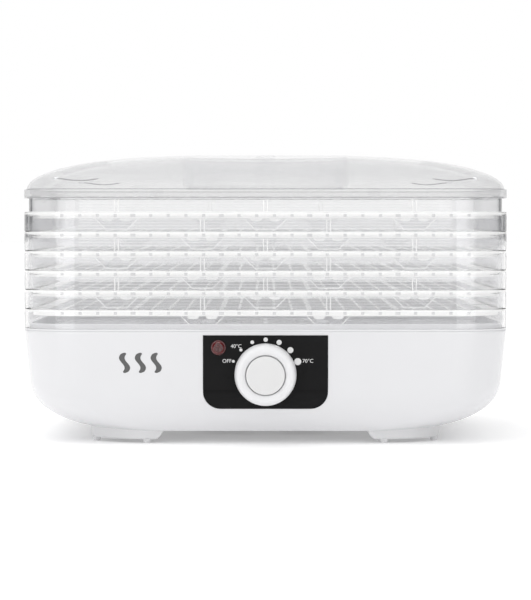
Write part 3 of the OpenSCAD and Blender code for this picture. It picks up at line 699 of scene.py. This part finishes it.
# ---------------------------------------------------------------- Knob and its cap
# A satin white ring with a dished face turns the thermostat; a flat cap closes its middle.
knob_base_y = knob_high.y
knob_profile = [
    (3.1, 3), (6.5, 3), (6.5, 9), (22, 9), (22, 0.3), (22.3, 0), (24.2, 0), (24.5, 0.3), (24.5, 3),
    (24.45, 7), (24.2, 10.5), (23.7, 13.3), (22.9, 15.5), (21.9, 16.9), (20.8, 17.5), (19.7, 17.6),
    (18.6, 17.3), (17.6, 16.8), (16.7, 16.3), (16.2, 15.9), (15.85, 15.3), (15.8, 14.5),
    (15.8, 12), (3.1, 12),
]
knob_rings = []
for r, forward in knob_profile:
    knob_rings.append([Vector((r * MM * math.cos(a), knob_base_y - forward * MM,
                               knob_z + r * MM * math.sin(a)))
                       for a in [2 * math.pi * k / 128 for k in range(128)]])
knob = loft("knob_ring", knob_rings, joined=True)
knob_white = plastic("knob_white", (0.78, 0.78, 0.79), 0.36, spread=0.05, grain=0.05, edge_highlight=0.3)
dress(knob, "knob", knob_white, slot="knob_white", stands_for=["knob"])
cap = turned("knob_face", [(15.2 * MM, 12.1 * MM), (15.2 * MM, 16.6 * MM), (15.0 * MM, 17.0 * MM),
                           (14.5 * MM, 17.25 * MM), (13.6 * MM, 17.3 * MM)],
             0, knob_base_y, knob_z, sides=128)
cap_white = plastic("cap_white", (0.72, 0.72, 0.72), 0.42, spread=0.05, grain=0.05, edge_highlight=0.25)
dress(cap, "knob", cap_white, slot="knob_white", stands_for=["knob_cap"])


# ---------------------------------------------------------------- Printed mark
# A plain warm-air sign in black print on the left of the front wall: three rising waves.
mark_x, mark_z = -99 * MM, 65.5 * MM
mark_h, mark_pitch, mark_swing, mark_w = 16 * MM, 12.5 * MM, 2.2 * MM, 4.4 * MM
waves = []
for lane in (-1, 0, 1):
    steps = 28
    points, faces = [], []
    for k in range(steps + 1):
        t = k / steps
        x = mark_x + lane * mark_pitch + mark_swing * math.sin(2 * math.pi * t)
        z = mark_z + mark_h * (t - 0.5)
        half = mark_w / 2 * min(1, 4.2 * math.sqrt(max(0.004, t * (1 - t))))
        points += [(x - half, front_y - print_t, z), (x + half, front_y - print_t, z),
                   (x + half, front_y + print_t, z), (x - half, front_y + print_t, z)]
        if k:
            a, b = 4 * (k - 1), 4 * k
            faces += [(a + c, a + (c + 1) % 4, b + (c + 1) % 4, b + c) for c in range(4)]
    faces += [(3, 2, 1, 0), tuple(4 * steps + c for c in range(4))]
    mesh = bpy.data.meshes.new("wave")
    mesh.from_pydata(points, [], faces)
    waves.append(finished(mesh, "wave"))
print_black = plastic("print_black", (0.012, 0.012, 0.013), 0.4, grain_scale=5200.0, grain=0.3, specular=0.3)
dress(merged("warm_air_mark", waves), "base", print_black)


# ---------------------------------------------------------------- Trays
# Six identical trays moulded in clear polystyrene, every other one turned round: an outer skirt, an
# upstand that fits the next tray, a ribbed floor, and tabs and posts that can space the stack.
tray_pitch = 15.5 * MM
skirt_wall = 2.4 * MM
upstand_in = 3.8 * MM
upstand_wall = 2.0 * MM
upstand_h = 12.5 * MM
band_low = 10.3 * MM
band_in = 6.6 * MM
band_back = 8.6 * MM
ledge_low = 13.5 * MM
floor_half_w, floor_half_d = 175 * MM, 121 * MM
rib_pitch = 14 * MM
bar_pitch = 5 * MM
# SHADED is a darker copy of the milky plastic: painted shade for the floor bars and the rib ends, where shade
# falls in the gaps between trays.
CLEAR, MILKY, SHADED = 0, 1, 2


def tray_ring(inset, z):
    return [Vector((x, y, z)) for x, y in outline(shell_w / 2 - inset, shell_d / 2 - inset, corner_r - inset)]


def floor_ring(z):
    return [Vector((x, y, z)) for x, y in outline(floor_half_w, floor_half_d, 6 * MM)]


def tray_rim():
    """Skirt, upstand and ledge as one closed section swept round the body's outline."""
    edge = 0.35 * MM
    top = tray_pitch
    inner = upstand_in + upstand_wall
    return loft("rim", [
        tray_ring(edge, 0), tray_ring(0, edge), tray_ring(0, top - edge), tray_ring(edge, top),
        tray_ring(upstand_in - edge, top), tray_ring(upstand_in, top + edge),
        tray_ring(upstand_in, top + upstand_h - edge), tray_ring(upstand_in + edge, top + upstand_h),
        tray_ring(inner - edge, top + upstand_h), tray_ring(inner, top + upstand_h - edge),
        tray_ring(inner, top + edge), tray_ring(inner + edge, top),
        tray_ring(inner + 1 * MM, top), tray_ring(inner + 1 * MM, ledge_low),
        tray_ring(skirt_wall, ledge_low), tray_ring(skirt_wall, edge), tray_ring(skirt_wall - edge, 0),
    ], joined=True)


def tray_band():
    """The band round the floor, with the plain margin between it and the lattice."""
    edge = 0.3 * MM
    return loft("band", [
        tray_ring(band_in, tray_pitch - 0.25 * MM), tray_ring(band_in, band_low + edge),
        tray_ring(band_in + edge, band_low), tray_ring(band_back - edge, band_low),
        tray_ring(band_back, band_low + edge), tray_ring(band_back, ledge_low),
        floor_ring(ledge_low), floor_ring(tray_pitch - 0.1 * MM),
        tray_ring(band_in + edge, tray_pitch - 0.1 * MM),
    ], joined=True)


def lattice(rib_layer):
    """One half of the floor: the deep ribs front to back, or the shallow bars between them."""
    parts = []
    ribs = [(i + 0.5) * rib_pitch for i in range(-12, 12)]
    half_widths = [(2.0 if round(abs(x) / MM) in (35, 105) else 1.0) * MM for x in ribs]
    if rib_layer:
        for x, half in zip(ribs, half_widths):
            top = tray_pitch + 0.15 * MM
            low = band_low + 0.3 * MM
            slope = 0.25 * MM
            section = [(x - half + slope, low), (x + half - slope, low), (x + half, top - 0.4 * MM),
                       (x + half - 0.3 * MM, top), (x - half + 0.3 * MM, top), (x - half, top - 0.4 * MM)]
            reach = shell_d / 2 - band_back + 0.4 * MM
            parts.append(plate(section, -reach, reach))
        return merged("ribs", parts)
    rows = int(2 * floor_half_d / bar_pitch)
    for j in range(rows + 1):
        y = (j - rows / 2) * bar_pitch
        parts.append(plate([(-floor_half_w - 1 * MM, tray_pitch - 1.9 * MM),
                            (floor_half_w + 1 * MM, tray_pitch - 1.9 * MM),
                            (floor_half_w + 1 * MM, tray_pitch - 0.3 * MM),
                            (-floor_half_w - 1 * MM, tray_pitch - 0.3 * MM)], y - 0.75 * MM, y + 0.75 * MM))
    return merged("bars", parts)


def plate(section, y0, y1):
    """A flat plate with this outline in x and z, between two depths."""
    rings = [[Vector((x, y, z)) for x, z in section] for y in (y0, y1)]
    return loft("plate", rings)


def facing(side, depth, thickness):
    """The two depths of a plate that stands depth behind the body's front or rear plane."""
    near = side * (shell_d / 2 - depth)
    far = side * (shell_d / 2 - depth - thickness)
    return min(near, far), max(near, far)


def beam(x0, z0, x1, z1, width, depths):
    """A thin strip between two points of a flat plate."""
    along = Vector((x1 - x0, 0, z1 - z0)).normalized() * width / 2
    across = Vector((-along.z, 0, along.x))
    return plate([(x0 - across.x, z0 - across.z), (x1 - across.x, z1 - across.z),
                  (x1 + across.x, z1 + across.z), (x0 + across.x, z0 + across.z)], *depths)


front_tabs = (-118 * MM, 0, 118 * MM)
rear_tabs = (-50 * MM, 50 * MM)
tab_low = 1.2 * MM
tab_half, tab_tip = 17 * MM, 7.7 * MM
clear_parts = [tray_rim()]
milky_parts = [tray_band(), lattice(True)]
# The shallow bars go in the painted-shade slot.
shaded_parts = [lattice(False)]
for xs, side in ((front_tabs, -1), (rear_tabs, 1)):
    for x in xs:
        clear_parts.append(plate([(x - tab_half, band_low + 0.2 * MM), (x - tab_tip, tab_low),
                                  (x + tab_tip, tab_low), (x + tab_half, band_low + 0.2 * MM)],
                                 *facing(side, 6.9 * MM, 1.4 * MM)))
        for s in (-1, 1):
            milky_parts.append(beam(x + s * tab_half, band_low, x + s * tab_tip, tab_low, 0.7 * MM,
                                    facing(side, 6.6 * MM, 0.9 * MM)))
            milky_parts.append(plate([(x + s * 7.4 * MM + dx * MM, band_low + dz * MM) for dx, dz in
                                      [(-4.6, 0.2), (-4.4, -1.3), (-3.2, -2.1), (0, -2.4),
                                       (3.2, -2.1), (4.4, -1.3), (4.6, 0.2)]],
                                     *facing(side, 7.2 * MM, 1.2 * MM)))
            left = x + s * 1.5 * MM - 0.4 * MM
            right = left + 0.8 * MM
            post_low, post_high = tray_pitch - 0.4 * MM, tray_pitch + 9.8 * MM
            milky_parts.append(plate([(left, post_low), (right, post_low),
                                      (right, post_high), (left, post_high)],
                                     *facing(side, upstand_in + upstand_wall - 0.6 * MM, 4.5 * MM)))
        milky_parts.append(beam(x - tab_tip, tab_low + 0.3 * MM, x + tab_tip, tab_low + 0.3 * MM, 0.6 * MM,
                                facing(side, 6.6 * MM, 0.9 * MM)))
# Painted shade: darker marks on the band's face where each rib ends.
for side in (-1, 1):
    for i in range(-12, 12):
        x = (i + 0.5) * rib_pitch
        half = (2.0 if round(abs(x) / MM) in (35, 105) else 1.3) * MM
        shaded_parts.append(plate([(x - half, band_low + 1.2 * MM), (x + half, band_low + 1.2 * MM),
                                   (x + half, band_low + 3.6 * MM), (x - half, band_low + 3.6 * MM)],
                                  *facing(side, band_in - 0.25 * MM, 0.6 * MM)))
    for line in range(4):
        z = tray_pitch + (2.2 + 2.3 * line) * MM
        line_half, line_top = 148 * MM, z + 0.3 * MM
        milky_parts.append(plate([(-line_half, z), (line_half, z),
                                  (line_half, line_top), (-line_half, line_top)],
                                 *facing(side, upstand_in + upstand_wall - 0.1 * MM, 0.35 * MM)))
tray_data = bpy.data.meshes.new("tray")
tray_work = bmesh.new()
for slot_index, parts in ((CLEAR, clear_parts), (MILKY, milky_parts), (SHADED, shaded_parts)):
    block = merged("block", parts)
    first = len(tray_work.faces)
    tray_work.from_mesh(block.data)
    tray_work.faces.ensure_lookup_table()
    for face in tray_work.faces[first:]:
        face.material_index = slot_index
    bpy.data.objects.remove(block)
tray_work.to_mesh(tray_data)
tray_work.free()


# Clear polystyrene: faint flow waves and rub marks.
clear_flow, flow_in, flow_out = node_group(
    "clear_flow",
    [("Colour", "NodeSocketColor", (0.95, 0.96, 0.97, 1)), ("Roughness", "NodeSocketFloat", 0.04),
     ("Rub", "NodeSocketFloat", 0.1)],
    [("Colour", "NodeSocketColor"), ("Roughness", "NodeSocketFloat"), ("Waves", "NodeSocketFloat")])
flow_place = clear_flow.nodes.new("ShaderNodeTexCoord")
flow_stretch = joined_nodes(clear_flow, "ShaderNodeMapping")
flow_stretch.inputs["Scale"].default_value = (0.35, 0.35, 1.6)
flow_waves = joined_nodes(clear_flow, "ShaderNodeTexNoise", Scale=60.0, Detail=2.0)
flow_rub = joined_nodes(clear_flow, "ShaderNodeTexNoise", Scale=240.0, Detail=6.0)
flow_rub_ramp = joined_nodes(clear_flow, "ShaderNodeMapRange", From_Min=0.5, From_Max=0.75)
flow_rub_gain = joined_nodes(clear_flow, "ShaderNodeMath", operation="MULTIPLY_ADD")
flow_tone = joined_nodes(clear_flow, "ShaderNodeMapRange", From_Min=0.3, From_Max=0.7, To_Min=0.985,
                         To_Max=1.0)
flow_colour = joined_nodes(clear_flow, "ShaderNodeVectorMath", operation="SCALE")
for source, target in [
    (flow_place.outputs["Object"], flow_stretch.inputs["Vector"]),
    (flow_stretch.outputs["Vector"], flow_waves.inputs["Vector"]),
    (flow_place.outputs["Object"], flow_rub.inputs["Vector"]),
    (flow_rub.outputs["Fac"], flow_rub_ramp.inputs["Value"]),
    (flow_rub_ramp.outputs["Result"], flow_rub_gain.inputs[0]),
    (flow_in.outputs["Rub"], flow_rub_gain.inputs[1]),
    (flow_in.outputs["Roughness"], flow_rub_gain.inputs[2]),
    (flow_rub_gain.outputs[0], flow_out.inputs["Roughness"]),
    (flow_waves.outputs["Fac"], flow_tone.inputs["Value"]),
    (flow_in.outputs["Colour"], flow_colour.inputs[0]),
    (flow_tone.outputs["Result"], flow_colour.inputs["Scale"]),
    (flow_colour.outputs["Vector"], flow_out.inputs["Colour"]),
    (flow_waves.outputs["Fac"], flow_out.inputs["Waves"]),
]:
    clear_flow.links.new(source, target)


def pass_light(made, share):
    """Lets that share of the light from lamps and surroundings through, as thin clear plastic does."""
    nodes, links = made.node_tree.nodes, made.node_tree.links
    ray = nodes.new("ShaderNodeLightPath")
    either = nodes.new("ShaderNodeMath")
    either.operation = "MAXIMUM"
    part = nodes.new("ShaderNodeMath")
    part.operation = "MULTIPLY"
    part.inputs[1].default_value = share
    open_way = nodes.new("ShaderNodeBsdfTransparent")
    choice = nodes.new("ShaderNodeMixShader")
    links.new(ray.outputs["Is Shadow Ray"], either.inputs[0])
    links.new(ray.outputs["Is Diffuse Ray"], either.inputs[1])
    links.new(either.outputs[0], part.inputs[0])
    links.new(part.outputs[0], choice.inputs["Fac"])
    links.new(nodes["Principled BSDF"].outputs[0], choice.inputs[1])
    links.new(open_way.outputs[0], choice.inputs[2])
    links.new(choice.outputs[0], nodes["Material Output"].inputs["Surface"])
    return made


def clear(name, colour, roughness, rub, wave=0.1, transmission=1.0):
    made = bpy.data.materials.new(name)
    made.use_nodes = True
    nodes, links = made.node_tree.nodes, made.node_tree.links
    shader = nodes["Principled BSDF"]
    shader.inputs["Transmission Weight"].default_value = transmission
    shader.inputs["IOR"].default_value = 1.46
    flow = nodes.new("ShaderNodeGroup")
    flow.node_tree = clear_flow
    for label_name, value in (("Colour", (*colour, 1)), ("Roughness", roughness), ("Rub", rub)):
        flow.inputs[label_name].default_value = value
    bump = nodes.new("ShaderNodeBump")
    bump.inputs["Strength"].default_value = wave
    bump.inputs["Distance"].default_value = 0.3 * MM
    links.new(flow.outputs["Colour"], shader.inputs["Base Color"])
    links.new(flow.outputs["Roughness"], shader.inputs["Roughness"])
    links.new(flow.outputs["Waves"], bump.inputs["Height"])
    links.new(bump.outputs["Normal"], shader.inputs["Normal"])
    return made


tray_clear = pass_light(clear("tray_clear", (0.93, 0.93, 0.935), 0.03, 0.08), 0.97)
tray_milky = pass_light(plastic("tray_band_milky", (0.93, 0.93, 0.92), 0.3, spread=0.08, drift=0.03,
                                grain=0.03, edge_highlight=0.3), 0.92)
tray_milky.node_tree.nodes["Principled BSDF"].inputs["Alpha"].default_value = 0.95
# Painted shade: the bars and rib ends use the milky plastic, darkened to stand for the shade in the gaps
# between trays.
tray_shaded = pass_light(plastic("tray_bars_shaded", (0.62, 0.62, 0.63), 0.3, spread=0.08, drift=0.05,
                                 grain=0.03, edge_highlight=0.2), 0.92)
tray_shaded.node_tree.nodes["Principled BSDF"].inputs["Alpha"].default_value = 0.85
for material in (tray_clear, tray_milky, tray_shaded):
    tray_data.materials.append(material)
tray_data.set_sharp_from_angle(angle=math.radians(35))
tray_names = sorted(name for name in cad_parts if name.startswith("tray_"))
for level, name in enumerate(tray_names):
    tray = bpy.data.objects.new(f"{name}_clear", tray_data)
    scene.collection.objects.link(tray)
    turn = math.pi if level % 2 == 0 else 0
    seat = Matrix.Translation((0, middle_y, rim_z + level * tray_pitch))
    tray.matrix_world = seat @ Matrix.Rotation(turn, 4, "Z")
    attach(tray, name)
    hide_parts(name)


# ---------------------------------------------------------------- Lid
# One clear moulding: a rim that sits on the top tray, a low dome, and a round recess crossed by a
# handle bar. Slots near the ends let the moist air out.
top_ledge_z = rim_z + len(tray_names) * tray_pitch
seat_z = top_ledge_z + upstand_h
lid_low_z = seat_z - 1.6 * MM
lid_rim_z = lid_low_z + 7.3 * MM
dome_w = shell_w / 2 - 2 * MM
dome_d = shell_d / 2 - 2 * MM
lid_rise = 30 * MM
crown_z = lid_rim_z + lid_rise
lid_wall = 2.2 * MM
dome_h = lid_rise - 0.4 * MM
shoulder_share = 0.955
recess_floor_z = lid_rim_z + 3 * MM


def shoulder_half(z, full, inset=0.0):
    """Half the dome's width or depth at height z: steep at the rim and ever flatter above."""
    share = min(0.999, (z - lid_rim_z) / (dome_h - inset))
    return (full - inset) * (1 - share ** 2) ** (1 / 3)


def shoulder_ring(z, inset=0.0):
    share = (z - lid_rim_z) / dome_h
    r = corner_r - 2 * MM - inset + 14 * MM * share ** 2
    return box_ring(shoulder_half(z, dome_w, inset), shoulder_half(z, dome_d, inset), r, z)


def crown_height(x, y):
    away = abs(x / dome_w) ** 3 + abs(y / dome_d) ** 3
    return lid_rim_z + dome_h * math.sqrt(max(0.0, 1 - away))


def lip_ring(r, drop):
    """A circle round the recess that stays drop below the crown's surface."""
    return [Vector((p.x, p.y, crown_height(p.x, p.y - middle_y) - drop)) for p in round_ring(r, 0)]


def crown_rings(outer, inner, shares):
    rings = []
    for t in shares:
        rise = 1.4 * t - 0.4 * t * t
        rings.append([Vector((a.x + (b.x - a.x) * t, a.y + (b.y - a.y) * t, a.z + (b.z - a.z) * rise))
                      for a, b in zip(outer, inner)])
    return rings


shoulder_heights = [lid_rim_z + dome_h * shoulder_share * math.sin(math.pi / 2 * k / 16) for k in range(17)]
crown_shares = (0.2, 0.45, 0.7, 0.9)
lid_rings = [
    body_ring(0.4 * MM, lid_low_z), body_ring(0, lid_low_z + 0.4 * MM), body_ring(0, lid_rim_z - 0.5 * MM),
    body_ring(0.5 * MM, lid_rim_z), body_ring(1.6 * MM, lid_rim_z),
]
lid_rings += [shoulder_ring(z) for z in shoulder_heights]
lid_rings += crown_rings(lid_rings[-1], lip_ring(71.2 * MM, 0), crown_shares)
lid_rings += [
    lip_ring(71.2 * MM, 0), lip_ring(69.6 * MM, 0.2 * MM), lip_ring(69 * MM, 0.9 * MM),
    round_ring(68.3 * MM, recess_floor_z + 2.5 * MM), round_ring(67.4 * MM, recess_floor_z + 0.7 * MM),
    round_ring(65.6 * MM, recess_floor_z), round_ring(65.6 * MM, recess_floor_z - lid_wall),
    round_ring(69.2 * MM, recess_floor_z - lid_wall + 0.8 * MM),
    round_ring(70.6 * MM, recess_floor_z + 3 * MM),
    lip_ring(71.2 * MM, 3.4 * MM), lip_ring(73 * MM, 2.4 * MM),
]
inner_heights = [z - lid_wall for z in reversed(shoulder_heights) if z - lid_wall > lid_rim_z + 0.5 * MM]
inner_start = shoulder_ring(inner_heights[0], lid_wall)
lid_rings += crown_rings(lid_rings[-1], inner_start, (0.25, 0.5, 0.75))
lid_rings += [inner_start]
lid_rings += [shoulder_ring(z, lid_wall) for z in inner_heights[1:]]
lid_rings += [
    body_ring(4.7 * MM, seat_z + 2 * MM), body_ring(5.8 * MM, seat_z + 1.8 * MM),
    body_ring(5.8 * MM, seat_z + 0.2 * MM), body_ring(5.6 * MM, seat_z),
    body_ring(2.6 * MM, seat_z), body_ring(2.4 * MM, seat_z - 0.2 * MM),
    body_ring(2.4 * MM, lid_low_z + 0.3 * MM), body_ring(2.1 * MM, lid_low_z),
]
lid_shell = loft("lid_shell", lid_rings, joined=True)

vent_x, vent_end_x, vent_w = 133 * MM, 174 * MM, 4 * MM
vent_cuts = []
for side in (-1, 1):
    for row in range(-2, 3):
        rings = []
        for z in (lid_rim_z + 4 * MM, crown_z + 4 * MM):
            ring = []
            for end, start in ((vent_end_x, -90), (vent_x, 90)):
                centre = end - vent_w / 2 if end == vent_end_x else end + vent_w / 2
                for k in range(9):
                    a = math.radians(start + 180 * k / 8)
                    ring.append(Vector((side * (centre + vent_w / 2 * math.cos(a)),
                                        middle_y + row * 20 * MM + vent_w / 2 * math.sin(a), z)))
            rings.append(ring)
        vent_cuts.append(loft("vent", rings))
cutter = merged("vent_cutter", vent_cuts)
cut = lid_shell.modifiers.new("vents", "BOOLEAN")
cut.operation = "DIFFERENCE"
cut.solver = "EXACT"
cut.object = cutter
bpy.context.view_layer.update()
vented = bpy.data.meshes.new_from_object(lid_shell.evaluated_get(bpy.context.evaluated_depsgraph_get()))
bpy.data.objects.remove(lid_shell)
bpy.data.objects.remove(cutter)
lid_shell = finished(vented, "lid_shell")

recess_floor = loft("recess_floor", [round_ring(66 * MM, recess_floor_z - lid_wall + 0.05 * MM),
                                     round_ring(66 * MM, recess_floor_z - 0.05 * MM)])


def channel(length, width, low, thickness):
    """The handle bar: an upside-down channel with rounded upper edges that follows the crown."""
    half = width / 2
    inner = half - thickness
    edge = 1.2 * MM
    rings = []
    steps = 16
    for k in range(steps + 1):
        y = (k / steps - 0.5) * length
        top = crown_height(half, y) - 0.2 * MM
        section = [(-half, low), (-half, top - edge), (-half + 0.3 * edge, top - 0.3 * edge),
                   (-half + edge, top), (half - edge, top), (half - 0.3 * edge, top - 0.3 * edge),
                   (half, top - edge), (half, low),
                   (inner, low), (inner, top - thickness), (-inner, top - thickness), (-inner, low)]
        rings.append([Vector((x, middle_y + y, z)) for x, z in section])
    return loft("channel", rings)


handle = channel(2 * 68.6 * MM, 16 * MM, recess_floor_z - 0.1 * MM, lid_wall)
clips = []
for side in (-1, 1):
    for y0, y1 in ((front_y - 0.8 * MM, front_y + 0.3 * MM), (rear_y - 0.3 * MM, rear_y + 0.8 * MM)):
        x, half = side * 99 * MM, 6 * MM
        neck_z, tip_z, tip_half = lid_rim_z + 2.2 * MM, lid_rim_z + 3.4 * MM, half - 1.4 * MM
        clips.append(plate([(x - half, lid_low_z), (x + half, lid_low_z), (x + half, neck_z),
                            (x + tip_half, tip_z), (x - tip_half, tip_z), (x - half, neck_z)], y0, y1))


def slope_point(x, h):
    """A point on the dome's front slope at height h above the rim line."""
    half_w = shoulder_half(lid_rim_z + h, dome_w)
    half_d = shoulder_half(lid_rim_z + h, dome_d)
    r = corner_r - 2 * MM + 14 * MM * (h / dome_h) ** 2
    over = max(0.0, abs(x) - (half_w - r))
    return Vector((x, half_d - r + math.sqrt(r ** 2 - over ** 2), lid_rim_z + h))


def tube(points, radius, sides=8):
    """A thin round bead along these points, drawn in at both ends."""
    rings = []
    for k, p in enumerate(points):
        along = (points[min(k + 1, len(points) - 1)] - points[max(k - 1, 0)]).normalized()
        across = along.cross(Vector((0, 0, 1))).normalized()
        up = across.cross(along)
        size = radius * (0.35 if k in (0, len(points) - 1) else 1)
        rings.append([p + (across * math.cos(a) + up * math.sin(a)) * size
                      for a in [2 * math.pi * n / sides for n in range(sides)]])
    return loft("tube", rings)


groove_parts = []
glint_parts = []
for side in (-1, 1):
    for end in (-1, 1):
        points = []
        for k in range(15):
            t = k / 14
            height = 8.2 - 1.6 * math.sin(math.pi * min(1, 1.25 * t))
            p = slope_point(side * (132 + 37 * t) * MM, height * MM)
            points.append(Vector((p.x, middle_y + end * p.y, p.z)))
        groove_parts.append(tube(points, 0.45 * MM))
        # Painted highlight: a short bright bead at the outer end of each vent line stands for the glint
        # there.
        p = slope_point(side * 166 * MM, 8.4 * MM)
        centre = Vector((p.x, middle_y + end * p.y, p.z))
        glint_points = [centre + Vector((dx * MM, 0, 0)) for dx in (-2.0, -1.2, 0, 1.2, 2.0)]
        glint_parts.append(tube(glint_points, 0.9 * MM))
for z, inset in ((lid_rim_z + 0.1 * MM, 1.9 * MM), (lid_low_z + 0.6 * MM, 1.9 * MM)):
    line = body_ring(inset, z)
    groove_parts.append(tube(line + line[:1], 0.3 * MM, sides=6))
grooves = merged("lid_vent_grooves", groove_parts)
glints = merged("lid_vent_painted_glints", glint_parts)
clip_faces = sum(len(clip.data.polygons) for clip in clips)
lid = merged("lid_clear", [lid_shell, recess_floor, handle, *clips])


def film(name, tone, cover_flat, cover_edge):
    """Thin clear plastic: nearly open when seen square on, and denser towards its edges."""
    made = clear(name, (tone, tone, tone * 1.02), 0.1, 0.1, transmission=0.0)
    nodes, links = made.node_tree.nodes, made.node_tree.links
    angle = nodes.new("ShaderNodeLayerWeight")
    angle.inputs["Blend"].default_value = 0.3
    cover = nodes.new("ShaderNodeMapRange")
    cover.inputs["To Min"].default_value = cover_flat
    cover.inputs["To Max"].default_value = cover_edge
    links.new(angle.outputs["Facing"], cover.inputs["Value"])
    links.new(cover.outputs["Result"], nodes["Principled BSDF"].inputs["Alpha"])
    return pass_light(made, 0.97)


lid_film = film("lid_dome_film", 0.6, 0.11, 0.4)
recess_film = film("lid_recess_film", 0.82, 0.02, 0.3)
rim_film = film("lid_rim_film", 0.5, 0.13, 0.6)
groove_film = film("lid_groove_film", 0.3, 0.6, 0.9)
clip_film = film("lid_clip_film", 0.85, 0.05, 0.5)
dress(lid, "lid", lid_film, recess_film, rim_film, clip_film, slot="clear_lid", stands_for=["lid"])
for face in lid.data.polygons:
    away = math.hypot(face.center.x, face.center.y - middle_y)
    if face.center.z < lid_rim_z + 0.3 * MM and away > 80 * MM:
        face.material_index = 2
    elif away < 71 * MM and face.center.z < crown_height(face.center.x, face.center.y - middle_y) - 0.1 * MM:
        face.material_index = 1
for face in lid.data.polygons[-clip_faces:]:
    face.material_index = 3
dress(grooves, "lid", groove_film, slot="clear_lid")
# The glint beads take a near-white film: a painted highlight.
glint_white = film("lid_glint_film", 0.95, 0.7, 0.9)
dress(glints, "lid", glint_white, slot="clear_lid")
